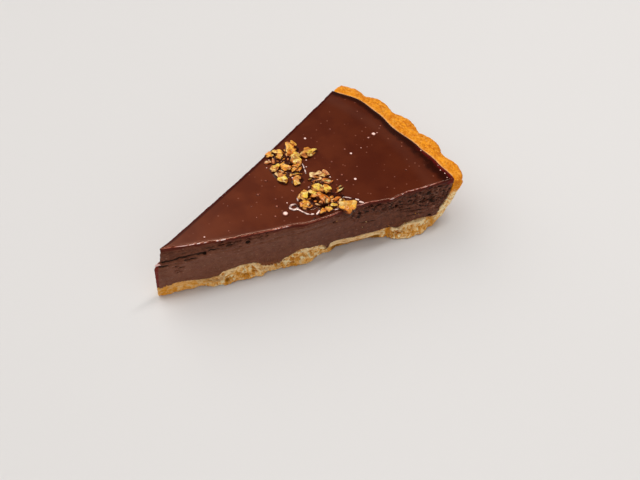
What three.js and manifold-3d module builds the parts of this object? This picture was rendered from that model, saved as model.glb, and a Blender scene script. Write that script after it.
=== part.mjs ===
// One slice of a round chocolate tart: a fluted shortcrust shell, a set chocolate ganache cut to show
// its face, and a thin dark glaze with a strip of chopped caramelised nuts stuck to it.
// The slice is worked out about the centre of the whole tart, with X along the middle of the slice
// towards the rim, and is then moved so that the centre of its underside is the origin.

import * as THREE from 'three';
import { ImprovedNoise } from 'three/addons/math/ImprovedNoise.js';
import { mergeVertices } from 'three/addons/utils/BufferGeometryUtils.js';
import Module from 'manifold-3d';

const wasm = await Module();
wasm.setup();
const { clamp, degToRad, lerp, radToDeg, seededRandom, smoothstep } = THREE.MathUtils;
const noise = new ImprovedNoise();

// ---- Driving dimensions: millimetres, and degrees for angles ----

const SLICE_ANGLE = 36.6; // a tenth of the tart, cut by eye
const NOSE_RADIUS = 1; // where the two cuts stop short of meeting
const GAP = 0.3; // clearance between neighbouring pieces
const INNER_SLACK = 0.6; // more of it between base and filling, away from the cuts

const FOOT_RADIUS = 115.5; // outside of the wall just above the plate
const FOOT_ROUNDING = 3;
const GROOVE_RADIUS = 120.9; // bottoms of the flutes at the rim
const FLUTE_COUNT = 47; // round the whole tart
const FLUTE_DEPTH = 2.9;
const FIRST_GROOVE_ANGLE = -18.05;
const RIM_OUTER_HEIGHT = 24.4;
const RIM_INNER_HEIGHT = 26;
const FAR_RIM_SETBACK = 1.6; // a little of the rim broke away at the far cut
const WALL_LEAN = 4.2; // how far the inside of the wall comes in from the rim down to the base
const BASE_THICKNESS = 5.5;

const GLAZE_HEIGHT = 25.9; // at the tip of the slice
const GLAZE_THICKNESS = 2.2;
const GLAZE_SAG = 1.3; // the set surface is this much lower half way to the rim
const MENISCUS_RISE = 0.7; // where the glaze climbs the crust

// The knife dragged the lower ganache and the crust out past the tip of the glaze.
const TIP_DRAG = 4.9;
const TIP_DRAG_REACH = 52;
const LEDGE_DEPTH = 2.6; // how far the ganache above the crease stays behind at the tip
const LEDGE_REACH = 30;
const CREASE_DEPTH = 0.45;
const CREASE_HALF_WIDTH = 0.7;
const NEAR_BULGE = 0.9; // the near cut isn't quite straight
const NEAR_BULGE_LENGTH = 85;

// Outlines along the slice: pairs of distance from the tart's centre and height or overhang.
const CREASE_HEIGHTS = [[0, 18.4], [8, 19.2], [20, 20.2], [27, 18.6], [55, 19.6], [75, 18.4], [112, 18]];
const NEAR_BASE_TOP = [
  [0, 5.6], [9, 6.6], [13, 4.6], [18, 4.8], [24, 7], [34, 6.6], [40, 3.4], [46, 5.4],
  [54, 7.4], [60, 6.9], [63, 5.4], [67, 6.9], [80, 6.1], [94, 6.7], [105, 7.2], [112, 6.4],
];
const NEAR_BASE_OVERHANG = [
  [0, 0], [11, 0], [21, 2.3], [35, 2.7], [42, 0.6], [54, 2.4],
  [62, 0.3], [68, -0.6], [84, -0.1], [96, 2.5], [112, 0.6],
];
const NEAR_BASE_LIFT = [
  [0, 0], [6, 0.3], [12, 1.2], [20, 0], [63, 0], [71, 2.3], [80, 2.8], [88, 0.3], [94, 0], [112, 0],
];
const FAR_BASE_TOP = [
  [0, 5.4], [12, 4.6], [22, 6.4], [37, 5.2], [48, 6.8],
  [61, 5.6], [76, 6.9], [90, 5.8], [101, 7], [112, 6.4],
];
const FAR_BASE_OVERHANG = [
  [0, 0.5], [15, 2.6], [27, 1.2], [43, 3], [57, 0.9], [70, 2.4], [83, 1], [97, 2.8], [112, 0.6],
];
const NO_LIFT = [[0, 0], [112, 0]];

// Inner edge of the rim: pairs of angle and radius. The thick hand-pressed rim thins to the near cut.
const RIM_INNER_EDGE = [
  [-18.5, 116], [-13, 114.1], [-7, 112.4], [0, 110.8], [6, 112.5], [11.5, 113.6], [18.5, 111.2],
];

// Chopped nuts: place along and across the slice, length, width, height, turn, and lift on others.
const NUTS = [
  [67.8, 15.9, 7.2, 5.6, 3.4, -125, 0],
  [73, 9.6, 6.6, 4.2, 2.8, 4, 0],
  [65.4, 8.3, 7.6, 5, 3.6, -80, 0],
  [58.6, 17.1, 4.2, 3.8, 2.6, -35, 0],
  [63, 17.3, 4.6, 2.6, 2, -38, 0],
  [62.4, 14.8, 3.6, 2.4, 2.2, -118, 0],
  [58.4, 14, 3.2, 1.7, 1.6, -120, 0],
  [55.6, 13.9, 3.8, 2.4, 1.5, -13, 0],
  [56.9, 10.3, 4, 2.6, 2, -156, 0],
  [60.2, 8.1, 4.4, 4, 2.6, -74, 0],
  [62.6, 4.9, 4, 3.2, 2.4, -20, 0],
  [55.3, 3, 5.2, 4.2, 2.8, -94, 0],
  [54.9, 6.7, 3.2, 1.6, 1.6, -98, 0],
  [59.5, -0.3, 4.6, 2.1, 1.8, -117, 0],
  [67.9, -2.4, 5, 2.5, 2, -25, 0],
  [71.3, -3.5, 3.6, 2.1, 1.8, -84, 0],
  [69.3, -7.2, 4, 2.8, 1.8, -47, 0],
  [60, -9.8, 3.6, 3.2, 2.6, -60, 0.4],
  [62.9, -9.7, 4.8, 4.6, 3.6, -51, 0.8],
  [65.6, -11.3, 4.2, 3.8, 3.2, -35, 0.7],
  [60.9, -13.7, 5.4, 3.6, 3, -106, 0.3],
  [56.8, -8.5, 5.8, 3.6, 3, -122, 0],
  [54.2, -13, 4.8, 4, 2.6, -32, 0],
  [65.4, -16.7, 3.8, 2, 1.6, -12, 0],
  [63.5, -18.8, 4.4, 2, 2, -26, 0],
  [67.3, -22.1, 7.2, 5.8, 3.4, -36, 0],
  [57.5, -18.7, 3.8, 2.4, 2.2, 32, 0],
  [60.3, -19.2, 3, 2.4, 2.2, -80, 0],
  [69.9, -13.5, 4.4, 2.4, 1.7, 1, 0],
];
// Smaller bits lie scattered between them, in a strip across the slice.
const BIT_COUNT = 14;
const BIT_SIZE = [1.5, 2.8];
const BIT_STRIP = { middle: 61.5, halfWidth: 6, nearEnd: -17, farEnd: 16 };
const NUT_SINK = 0.8; // how deep a nut sits in the glaze
const NUT_ROUGHNESS = 0.22; // how uneven a chopped piece is
const NUT_SEED = 7;

const HALF_ANGLE = degToRad(SLICE_ANGLE / 2);
const FLUTE_PITCH = 360 / FLUTE_COUNT;
const NEAR = -1;
const FAR = 1;

// ---- Helpers ----

// Evenly spaced stops from 0 to 1.
function evenStops(count) {
  return Array.from({ length: count + 1 }, (_, index) => index / count);
}

// The smooth line through [place, value] pairs.
function along(pairs, place) {
  const last = pairs.length - 1;
  const at = clamp(place, pairs[0][0], pairs[last][0]);
  const next = clamp(pairs.findIndex(([stop]) => stop >= at), 1, last);
  const [fromPlace, fromValue] = pairs[next - 1];
  const [toPlace, toValue] = pairs[next];
  return lerp(fromValue, toValue, smoothstep(at, fromPlace, toPlace));
}

// A closed block of grid lines at the given stops, each of its points moved to pointAt(u, v, w).
function shapedBlock(uStops, vStops, wStops, pointAt) {
  const box = new THREE.BoxGeometry(1, 1, 1, uStops.length - 1, vStops.length - 1, wStops.length - 1);
  box.deleteAttribute('normal');
  box.deleteAttribute('uv');
  const block = mergeVertices(box);
  const { position } = block.attributes;
  const stopAt = (stops, coordinate) => stops[Math.round((coordinate + 0.5) * (stops.length - 1))];
  for (let i = 0; i < position.count; i++) {
    const u = stopAt(uStops, position.getX(i));
    const v = stopAt(vStops, position.getY(i));
    const w = stopAt(wStops, position.getZ(i));
    position.setXYZ(i, ...pointAt(u, v, w));
  }
  return block;
}

function toSolid(geometry) {
  const vertProperties = new Float32Array(geometry.attributes.position.array);
  const triVerts = new Uint32Array(geometry.index.array);
  return new wasm.Manifold(new wasm.Mesh({ numProp: 3, vertProperties, triVerts }));
}

function toGeometry(solid) {
  const { vertProperties, triVerts } = solid.getMesh();
  const geometry = new THREE.BufferGeometry();
  geometry.setAttribute('position', new THREE.Float32BufferAttribute(vertProperties, 3));
  geometry.setIndex(new THREE.Uint32BufferAttribute(triVerts, 1));
  return geometry;
}

// A point at a radius and at a share across the slice, -1 on the near cut and 1 on the far cut,
// pushed out of the cut face by overhang and towards the tip by pull.
function slicePoint(radius, across, height, overhang, pull) {
  const angle = across * HALF_ANGLE;
  const wave = Math.sin(Math.PI * clamp(radius / NEAR_BULGE_LENGTH, 0, 1)) ** 2;
  const bulge = across < 0 ? NEAR_BULGE * wave : 0;
  const push = (overhang + bulge) * Math.abs(across) ** 6;
  return [
    radius * Math.cos(angle) - push * Math.sin(HALF_ANGLE) - pull,
    radius * Math.sin(angle) + push * Math.sign(across) * Math.cos(HALF_ANGLE),
    height,
  ];
}

const acrossAt = (v) => lerp(NEAR, FAR, v);

// How far the knife pulled the lower part of the slice towards the tip, most at its foot.
function tipPull(radius, height) {
  const depth = clamp(1 - height / GLAZE_HEIGHT, 0, 1);
  return TIP_DRAG * lerp(0.65, 1.05, depth) * (1 - smoothstep(radius, 0, TIP_DRAG_REACH));
}

// The part above the crease stayed behind, the more so the higher it is.
function upperPull(radius, height) {
  const ledge = LEDGE_DEPTH * (1 - smoothstep(radius, 0, LEDGE_REACH));
  const depth = (GLAZE_HEIGHT - height) / (GLAZE_HEIGHT - CREASE_HEIGHTS[0][1]);
  return Math.max(tipPull(radius, height) - ledge, 0) * clamp(depth, 0, 1);
}

// Crumbly roughness of a cut edge, different on the two sides.
function roughness(radius, height, across, grain) {
  const side = across < 0 ? 3.7 : 11.3;
  return noise.noise(radius / grain, height / grain, side);
}

// ---- Shared surfaces ----

// The flutes are rounded outwards and meet in sharp grooves.
function fluteAt(angle) {
  const turns = (radToDeg(angle) - FIRST_GROOVE_ANGLE) / FLUTE_PITCH;
  return Math.abs(Math.sin(Math.PI * turns)) ** 0.8;
}

function rimShrink(angle) {
  return 1.8 * smoothstep(radToDeg(angle), 12, 18.5);
}

function wallOuter(angle, height) {
  const rise = height / RIM_OUTER_HEIGHT;
  const groove = lerp(FOOT_RADIUS, GROOVE_RADIUS, rise) - rimShrink(angle) * rise;
  const foot = FOOT_ROUNDING * (1 - smoothstep(height, 0, FOOT_ROUNDING)) ** 2;
  return groove + FLUTE_DEPTH * fluteAt(angle) * lerp(0.45, 1, rise) - foot;
}

function wallInner(angle, height) {
  const drop = 1 - clamp(height / RIM_INNER_HEIGHT, 0, 1);
  return along(RIM_INNER_EDGE, radToDeg(angle)) - WALL_LEAN * drop;
}

function baseTop(radius, across) {
  const edge = along(across < 0 ? NEAR_BASE_TOP : FAR_BASE_TOP, radius);
  return lerp(BASE_THICKNESS, edge, smoothstep(Math.abs(across), 0.3, 0.8));
}

// The top of the glaze sags between the tip and the rim, and climbs the crust.
function glazeTop(radius) {
  const rim = along(RIM_INNER_EDGE, 0);
  const sag = GLAZE_SAG * Math.sin(Math.PI * clamp(radius / rim, 0, 1)) ** 1.2;
  return GLAZE_HEIGHT - sag + MENISCUS_RISE * smoothstep(radius, rim - 12, rim);
}

function ganacheTop(radius) {
  return glazeTop(radius) - GLAZE_THICKNESS - GAP;
}

// ---- Pastry shell ----

const SLICE_STOPS = evenStops(50);
const ACROSS_STOPS = [0, 0.02, 0.1, 0.3, 0.5, 0.7, 0.9, 0.98, 1];
const BASE_END_RADIUS = 112;

function pastryBase() {
  const layers = [0, 0.2, 0.5, 0.8, 1];
  return shapedBlock(SLICE_STOPS, ACROSS_STOPS, layers, (u, v, w) => {
    const across = acrossAt(v);
    const radius = lerp(NOSE_RADIUS, BASE_END_RADIUS, u);
    const edge = smoothstep(Math.abs(across), 0.75, 1);
    const lift = along(across < 0 ? NEAR_BASE_LIFT : NO_LIFT, radius) * edge;
    const height = lerp(lift, baseTop(radius, across), w);
    const ledge = along(across < 0 ? NEAR_BASE_OVERHANG : FAR_BASE_OVERHANG, radius);
    const bite = roughness(radius, height, across, 3.1) * (w < 1 ? 1.1 : 0.4);
    const overhang = ledge * lerp(1, 0.45, w ** 2) + bite * smoothstep(radius, 0, 12);
    return slicePoint(radius, across, height, overhang, tipPull(radius, BASE_THICKNESS) * lerp(0.92, 1, w));
  });
}

function pastryWall() {
  const thickness = [0, 0.3, 0.6, 0.88, 1];
  const rows = [0, 0.05, 0.14, 0.35, 0.6, 0.85, 0.96, 1];
  return shapedBlock(thickness, evenStops(48), rows, (u, v, w) => {
    const across = acrossAt(v);
    const angle = across * HALF_ANGLE;
    const bump = 0.5 * noise.noise(u * 2.3, angle * 40, 5.2);
    const top = lerp(RIM_INNER_HEIGHT, RIM_OUTER_HEIGHT, u) - 0.9 * u ** 6 + bump;
    const height = w * top;
    const radius = lerp(wallInner(angle, height), wallOuter(angle, height), u);
    const crumble = 0.7 * roughness(radius, height, across, 2.7) * w * (1 - w) * 4;
    const setBack = across > 0 ? FAR_RIM_SETBACK * w : 0;
    return slicePoint(radius, across, height, crumble - setBack, 0);
  });
}

function pastryShell() {
  return toGeometry(toSolid(pastryBase()).add(toSolid(pastryWall())));
}

// ---- Ganache filling ----

// Shares of the filling's height: its upper and lower parts meet in a crease left by the knife.
const CREASE_BOTTOM_SHARE = 0.6;
const CREASE_SHARE = 0.68;
const CREASE_TOP_SHARE = 0.76;

function ganacheHeight(radius, across, share) {
  const slack = INNER_SLACK * (1 - smoothstep(Math.abs(across), 0.7, 0.95));
  const low = baseTop(radius, across) + GAP + slack;
  const high = ganacheTop(radius);
  const crease = along(CREASE_HEIGHTS, radius);
  const under = crease - CREASE_HALF_WIDTH;
  const over = crease + CREASE_HALF_WIDTH;
  if (share <= CREASE_BOTTOM_SHARE) {
    return lerp(low, under, share / CREASE_BOTTOM_SHARE);
  }
  if (share <= CREASE_TOP_SHARE) {
    return lerp(under, over, (share - CREASE_BOTTOM_SHARE) / (CREASE_TOP_SHARE - CREASE_BOTTOM_SHARE));
  }
  return lerp(over, high, (share - CREASE_TOP_SHARE) / (1 - CREASE_TOP_SHARE));
}

function ganacheFilling() {
  const layers = [0, 0.15, 0.32, 0.48, CREASE_BOTTOM_SHARE, CREASE_SHARE, CREASE_TOP_SHARE, 0.88, 1];
  return shapedBlock(SLICE_STOPS, ACROSS_STOPS, layers, (u, v, w) => {
    const across = acrossAt(v);
    const angle = across * HALF_ANGLE;
    const nominal = lerp(NOSE_RADIUS, BASE_END_RADIUS, u);
    const height = ganacheHeight(nominal, across, w);
    const end = wallInner(angle, height) - GAP;
    const radius = nominal - smoothstep(u, 0.9, 1) * (BASE_END_RADIUS - end);
    const crease = w === CREASE_SHARE ? -CREASE_DEPTH : 0;
    const marks = 0.45 * roughness(radius * 0.4, height, across, 2.2) * smoothstep(radius, 0, 12);
    const pull = w >= CREASE_TOP_SHARE ? upperPull(radius, height) : tipPull(radius, height);
    return slicePoint(radius, across, height, crease + marks, pull);
  });
}

// ---- Glaze with chopped nuts ----

function glazeLayer() {
  return shapedBlock(evenStops(26), evenStops(12), [0, 0.7, 1], (u, v, w) => {
    const across = acrossAt(v);
    const angle = across * HALF_ANGLE;
    const end = wallInner(angle, GLAZE_HEIGHT - GLAZE_THICKNESS) - GAP;
    const radius = lerp(NOSE_RADIUS, end, u);
    const height = glazeTop(radius) - GLAZE_THICKNESS * (1 - w);
    const rounding = w === 1 ? -0.35 : 0;
    return slicePoint(radius, across, height, rounding, upperPull(radius, height));
  });
}

// One chopped piece: a many-sided lump with its corners pushed in and out.
function nutPiece(lump, [x, y, length, width, height, turn, lift]) {
  lump.deleteAttribute('normal');
  lump.deleteAttribute('uv');
  const nut = mergeVertices(lump);
  const { position } = nut.attributes;
  for (let i = 0; i < position.count; i++) {
    const stretch = 1 + NUT_ROUGHNESS * (2 * seededRandom() - 1);
    position.setXYZ(i, position.getX(i) * stretch, position.getY(i) * stretch, position.getZ(i) * stretch);
  }
  nut.scale(length, width, height);
  nut.rotateZ(degToRad(turn));
  nut.translate(x, y, glazeTop(Math.hypot(x, y)) + height / 2 - NUT_SINK + lift);
  return nut;
}

function smallBit() {
  const { middle, halfWidth, nearEnd, farEnd } = BIT_STRIP;
  const size = lerp(...BIT_SIZE, seededRandom());
  const x = middle + halfWidth * (2 * seededRandom() - 1);
  const y = lerp(nearEnd, farEnd, seededRandom());
  const turn = 360 * seededRandom();
  return nutPiece(new THREE.IcosahedronGeometry(0.5, 0), [x, y, size, 0.7 * size, 0.8 * size, turn, 0]);
}

function glazeWithNuts() {
  seededRandom(NUT_SEED);
  const nuts = NUTS.map((nut) => nutPiece(new THREE.DodecahedronGeometry(0.5, 0), nut));
  const bits = Array.from({ length: BIT_COUNT }, smallBit);
  const joined = [...nuts, ...bits].reduce(
    (solid, piece) => solid.add(toSolid(piece)),
    toSolid(glazeLayer()),
  );
  return toGeometry(joined);
}

// ---- The slice ----

const pastryMaterial = new THREE.MeshStandardMaterial({ color: 0xd8a45c, roughness: 0.85, metalness: 0 });
const ganacheMaterial = new THREE.MeshStandardMaterial({ color: 0x4c2e26, roughness: 0.55, metalness: 0 });
const glazeMaterial = new THREE.MeshStandardMaterial({ color: 0x56200f, roughness: 0.15, metalness: 0 });

function namedMesh(name, geometry, material) {
  const mesh = new THREE.Mesh(geometry, material);
  mesh.name = name;
  return mesh;
}

const slice = new THREE.Group();
slice.add(namedMesh('pastry_shell', pastryShell(), pastryMaterial));
slice.add(namedMesh('ganache_filling', ganacheFilling(), ganacheMaterial));
slice.add(namedMesh('glaze_with_nuts', glazeWithNuts(), glazeMaterial));

// Stand the middle of the slice's underside on the origin.
const box = new THREE.Box3().setFromObject(slice);
const middle = box.getCenter(new THREE.Vector3());
slice.position.set(-middle.x, -middle.y, -box.min.z);

export default slice;
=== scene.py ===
# %% [markdown]
# # A slice of chocolate tart
# A baked shortcrust shell holds a dense chocolate ganache, a thin shiny glaze lies on it, and chopped
# caramelised nuts are strewn across the glaze. The solids of the slice are already there, at their real
# size. This lesson keeps their form and gives each piece the surface that makes it look edible.

# %% Open the part
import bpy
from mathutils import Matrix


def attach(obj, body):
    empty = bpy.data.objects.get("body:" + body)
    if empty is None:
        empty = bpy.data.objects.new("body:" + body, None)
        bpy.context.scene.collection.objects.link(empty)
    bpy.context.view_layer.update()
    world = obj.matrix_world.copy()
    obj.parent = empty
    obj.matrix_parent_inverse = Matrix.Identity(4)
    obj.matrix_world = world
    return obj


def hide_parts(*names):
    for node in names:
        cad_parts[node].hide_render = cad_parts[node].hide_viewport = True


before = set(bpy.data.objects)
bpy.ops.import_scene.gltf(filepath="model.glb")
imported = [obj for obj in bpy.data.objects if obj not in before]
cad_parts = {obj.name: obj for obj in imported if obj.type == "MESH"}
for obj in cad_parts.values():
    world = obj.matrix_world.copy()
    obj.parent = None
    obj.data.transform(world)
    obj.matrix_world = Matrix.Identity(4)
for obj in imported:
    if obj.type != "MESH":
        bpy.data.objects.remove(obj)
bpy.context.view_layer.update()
print("solids:", ", ".join(sorted(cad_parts)))

# %% Tools
import math
import random

import bmesh
import bpy
from mathutils import Matrix, Vector, noise

scene = bpy.context.scene
scene.view_settings.view_transform = "Standard"
MM = 0.001

# %% [markdown]
# ## Finding one's way on the slice
# Everything on a tart is laid out about the middle of the whole tart, which is the point that the knife
# starts from. The helpers below work in millimetres from that point, with X along the middle of the
# slice. `rise` and `fall` blend one thing into the next, and `along` reads a smooth line through a few
# pairs of numbers, which is enough to describe an outline that was shaped by hand.

# %% Places on the slice
TART_CENTRE = Vector((-59.842, 0.625, 0)) * MM
HALF_ANGLE = math.radians(18.3)
# Where the filling meets the crust: degrees from the middle of the slice, and distance from the tip
RIM_INNER_EDGE = [
    (-18.5, 116), (-13, 114.1), (-7, 112.4), (0, 110.8), (6, 112.5), (11.5, 113.6), (18.5, 111.2),
]


def rise(low, high, value):
    """A smooth step up: 0 below low and 1 above high."""
    share = min(max((value - low) / (high - low), 0), 1)
    return share * share * (3 - 2 * share)


def fall(low, high, value):
    """A smooth step down: 1 below low and 0 above high."""
    return 1 - rise(low, high, value)


def band(start, full, fade, end, value):
    """Rises from start to full, stays at 1, and falls from fade to end."""
    return rise(start, full, value) * fall(fade, end, value)


def blend(first, second, share):
    return first + (second - first) * share


def along(pairs, place):
    """The smooth line through (place, value) pairs."""
    for (from_place, from_value), (to_place, to_value) in zip(pairs, pairs[1:]):
        if place <= to_place:
            break
    return blend(from_value, to_value, rise(from_place, to_place, place))


def from_centre(point):
    """A point in millimetres from the middle of the whole tart."""
    return (point - TART_CENTRE) / MM


def radius_of(spot):
    return math.hypot(spot.x, spot.y)


def degrees_of(spot):
    return math.degrees(math.atan2(spot.y, spot.x))


print("slice angle", round(2 * math.degrees(HALF_ANGLE), 1), "degrees")

# %% [markdown]
# ## The camera
# The slice is seen from above its long near cut, as a diner sees it. The camera is made from the place
# it stands in, the place it looks at and a small roll, because each can be changed on its own.

# %% Camera
CAMERA_PLACE = TART_CENTRE + Vector((-49.9, -135.5, 199.1)) * MM
CAMERA_TARGET = TART_CENTRE + Vector((62.3, -13.5, 0)) * MM
CAMERA_ROLL = math.radians(5.3)
CAMERA_LENS = 35.37


def make_camera():
    camera = bpy.data.objects.new("camera", bpy.data.cameras.new("camera"))
    camera.data.lens = CAMERA_LENS
    camera.data.clip_start = 10 * MM
    camera.location = CAMERA_PLACE
    look = (CAMERA_TARGET - CAMERA_PLACE).to_track_quat("-Z", "Y")
    camera.rotation_euler = (look.to_matrix() @ Matrix.Rotation(CAMERA_ROLL, 3, "Z")).to_euler()
    scene.collection.objects.link(camera)
    return camera


scene.camera = make_camera()
print("camera stands", round((CAMERA_PLACE - CAMERA_TARGET).length, 3), "m away")

# %% [markdown]
# ## From a plain solid to something that can be carved
# A surface can be roughened in its material alone, but then its edge stays straight. Crumbs and knife
# marks break the edge, so they are carved into the mesh here. A copy of the solid is remade from small
# even faces, its large flat faces are softened away, and then every point is moved by a rule. The rule
# also leaves notes on the points, such as how deep a hollow is, which the material reads later.

# %% Carving tools
SPARING = 10  # how strongly thinning out spares the faces that show


def settle(piece):
    """Applies a piece's modifiers, so that what shows is its own mesh."""
    bpy.context.view_layer.update()
    shaped = piece.evaluated_get(bpy.context.evaluated_depsgraph_get())
    mesh = bpy.data.meshes.new_from_object(shaped)
    piece.modifiers.clear()
    piece.data = mesh
    mesh.name = piece.name


def new_piece(name, form):
    """An object from a bmesh, smooth shaded, riding on the slice."""
    mesh = bpy.data.meshes.new(name)
    form.to_mesh(mesh)
    form.free()
    mesh.shade_smooth()
    piece = bpy.data.objects.new(name, mesh)
    scene.collection.objects.link(piece)
    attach(piece, "root")
    return piece


def remake(piece, grain, softness):
    """Remakes a piece from even faces, about one grain (in millimetres) wide, and softens it."""
    even = piece.modifiers.new("even faces", "REMESH")
    even.mode = "VOXEL"
    even.voxel_size = grain * MM
    soft = piece.modifiers.new("soften", "SMOOTH")
    soft.factor = 0.5
    soft.iterations = softness
    settle(piece)


def thin_out(piece, hidden, share):
    """Leaves a share of the faces, by joining those that nobody sees, as the rule hidden says."""
    group = piece.vertex_groups.new(name="hidden")
    for vertex in piece.data.vertices:
        weight = hidden(from_centre(vertex.co))
        if weight > 0:
            group.add([vertex.index], weight, "REPLACE")
    fewer = piece.modifiers.new("fewer faces", "DECIMATE")
    fewer.ratio = share
    fewer.vertex_group = group.name
    fewer.vertex_group_factor = SPARING
    settle(piece)
    piece.vertex_groups.clear()


def carving_copy(node, name, grain, softness):
    """A copy of a solid, made of even faces."""
    form = bmesh.new()
    form.from_mesh(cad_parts[node].data)
    bmesh.ops.remove_doubles(form, verts=form.verts, dist=0.001 * MM)
    piece = new_piece(name, form)
    remake(piece, grain, softness)
    return piece


def carve(piece, rule, notes):
    """Moves each point by the rule, which returns a shift in millimetres and a value for each note."""
    mesh = piece.data
    places, values = [], []
    for vertex in mesh.vertices:
        shift, *marks = rule(from_centre(vertex.co), vertex.normal)
        places.extend(vertex.co + shift * MM)
        values.append(marks)
    mesh.vertices.foreach_set("co", places)
    for column, name in enumerate(notes):
        leave_note(piece, name, [marks[column] for marks in values])
    mesh.update()
    mesh.shade_smooth()
    print(piece.name, len(mesh.vertices), "points carved")


def leave_note(piece, name, values):
    """Keeps one value for each point of a piece, for its material to read."""
    piece.data.attributes.new(name, "FLOAT", "POINT").data.foreach_set("value", values)


# %% [markdown]
# Both the crust and the ganache need to know where the knife went. A point belongs to a cut if it faces
# away from it or lies close to its plane. The near cut isn't straight: the knife wandered a little, and
# its wander is given as how far the edge stands out at each run, which is the distance from the tip.

# %% Knife cuts
NEAR_CUT, FAR_CUT = (
    Vector((-math.sin(HALF_ANGLE), side * math.cos(HALF_ANGLE), 0)) for side in (-1, 1)
)
NEAR_EDGE = Vector((math.cos(HALF_ANGLE), -math.sin(HALF_ANGLE), 0))  # the way the near cut runs
KNIFE_WANDER = [
    (0, 0), (10, 1.0), (20, 1.5), (38, 1.5), (45, 1.4), (51, 2.3), (57, 1.9), (66, 0.8), (75, 0.2),
    (80, 0.9), (84, 1.6), (87, 0.9), (91, 0), (98, 0), (108, -0.2), (120, -0.3),
]
WANDER_BOTTOM, WANDER_TOP = 3, 24  # it is gone at the bottom of the cut and full at the top
LEAN = 1.33  # seen from above, a spot that stands out by 1 mm looks this much lower


def behind_near_cut(spot):
    """How far a spot lies behind the near cut."""
    return -spot.dot(NEAR_CUT)


def behind_cuts(spot):
    """How far a spot lies behind the nearer of the two cuts."""
    return min(behind_near_cut(spot), -spot.dot(FAR_CUT))


def cut_share(spot, normal):
    """1 on a face that the knife left, 0 away from it."""
    facing = max(normal.dot(NEAR_CUT), normal.dot(FAR_CUT))
    depth = behind_cuts(spot)
    return max(rise(0.3, 0.7, facing) * fall(4, 7, depth), fall(0.2, 1.4, depth))


def wander(spot):
    """How far out of the near cut the knife's path moves a spot."""
    if spot.y > 0:
        return 0
    reach = along(KNIFE_WANDER, radius_of(spot)) * rise(WANDER_BOTTOM, WANDER_TOP, spot.z)
    return reach * fall(0, 6, behind_near_cut(spot))


print("the knife wandered by up to", max(out for _, out in KNIFE_WANDER), "mm")

# %% [markdown]
# Relief is made of a few simple patterns. Hollows and grooves are placed one by one. Grains and waves are
# two kinds of noise, whose size is given in millimetres, as the spots are.

# %% Patterns


def hollows(rows, run, height):
    """How deep a spot lies in round hollows, from rows of run, height, length, thickness and depth."""
    deepest = 0
    for middle_run, middle_height, length, thickness, depth in rows:
        if abs(run - middle_run) < length and abs(height - middle_height) < thickness:
            away = math.hypot(2 * (run - middle_run) / length, 2 * (height - middle_height) / thickness)
            deepest = max(deepest, depth * fall(0.45, 1.15, away))
    return deepest


def groove(distance, width):
    """1 in the middle of a line and 0 one width away from it."""
    return fall(0, width, abs(distance))


def grains(spot, size):
    """0 in the middle of a round grain and about 1 between grains."""
    return noise.voronoi(spot / size)[0][0]


def bumps(spot, size):
    """Round grains that stand out, with gaps below 0 between them."""
    return 0.4 - grains(spot, size)


def waves(spot, size, shift=0.0):
    """Soft noise from about -1 to 1, with bumps of a given size."""
    return noise.noise(spot / size + Vector((shift, 2 * shift, 3 * shift)))


print("a groove is deepest in its middle:", [round(groove(0.25 * step, 1), 2) for step in range(5)])

# %% [markdown]
# ## The shortcrust shell
# Shortcrust is fat and flour baked into grains. Where a knife breaks it, it shows a jumble of crumbs with
# gaps where some fell out, and where it baked against the tin it is sandy with fine pits. The crumbs are
# cells of Voronoi noise in two sizes, pushed outwards, and the gaps are a noise that is pushed in only
# where it passes a threshold. How deep a point ends up is noted, because the material paints shade by it.

# %% Crumbs and baked skin
LARGE_CRUMB, SMALL_CRUMB = 1.7, 0.9
PIT_SPACING = 1.5


def crumbs(spot):
    """The relief of a broken edge."""
    lumps = 0.55 * waves(spot, 2 * LARGE_CRUMB) + 0.5 * bumps(spot, LARGE_CRUMB)
    sand = 0.5 * bumps(spot, SMALL_CRUMB) + 0.14 * waves(spot, 0.5)
    gaps = rise(0.2, 0.5, waves(Vector((spot.x, spot.y, 1.6 * spot.z)), 1.5, 5.0))
    return lumps + sand - 0.7 * gaps


def baked_skin(spot):
    """The sandy relief of what the oven browned."""
    pits = fall(0.1, 0.36, grains(spot, PIT_SPACING))
    return 0.16 * waves(spot, 1.3) + 0.14 * bumps(spot, SMALL_CRUMB) - 0.12 * pits


print("crumbs are", LARGE_CRUMB, "and", SMALL_CRUMB, "mm wide")

# %% [markdown]
# The near edge of the base didn't break alike all along. One stretch came away calmly between its layers:
# it is creamy and smooth, and its foot stands back. The rest broke in lumps, and crumbs fell out of it.
# Each table gives a value at a few runs, so that the edge can be changed at one place at a time.

# %% The near edge of the base
# How calmly it broke, how creamy it is, how golden it is, and how golden its foot is
CALM_STRETCH = [
    (0, 0.7), (16, 0.6), (21, 0), (58, 0), (62, 0.6), (68, 1), (86, 1), (90, 0), (109, 0), (112, 0.9),
]
CREAMY_STRETCH = [(62, 0), (67, 0.9), (86, 0.9), (89, 0), (111, 0), (113, 0.3)]
GOLDEN_STRETCH = [
    (0, 0.8), (5, 0.55), (12, 0.6), (18, 0.4), (20, 0.1), (88, 0), (90.5, 0.8), (92.5, 0.1), (107, 0.1),
    (110, 0.5), (113, 0.3), (115, 0),
]
GOLDEN_FOOT = [(19, 0), (22, 0.4), (56, 0.4), (60, 0), (92, 0), (96, 0.25), (112, 0.25)]
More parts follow.
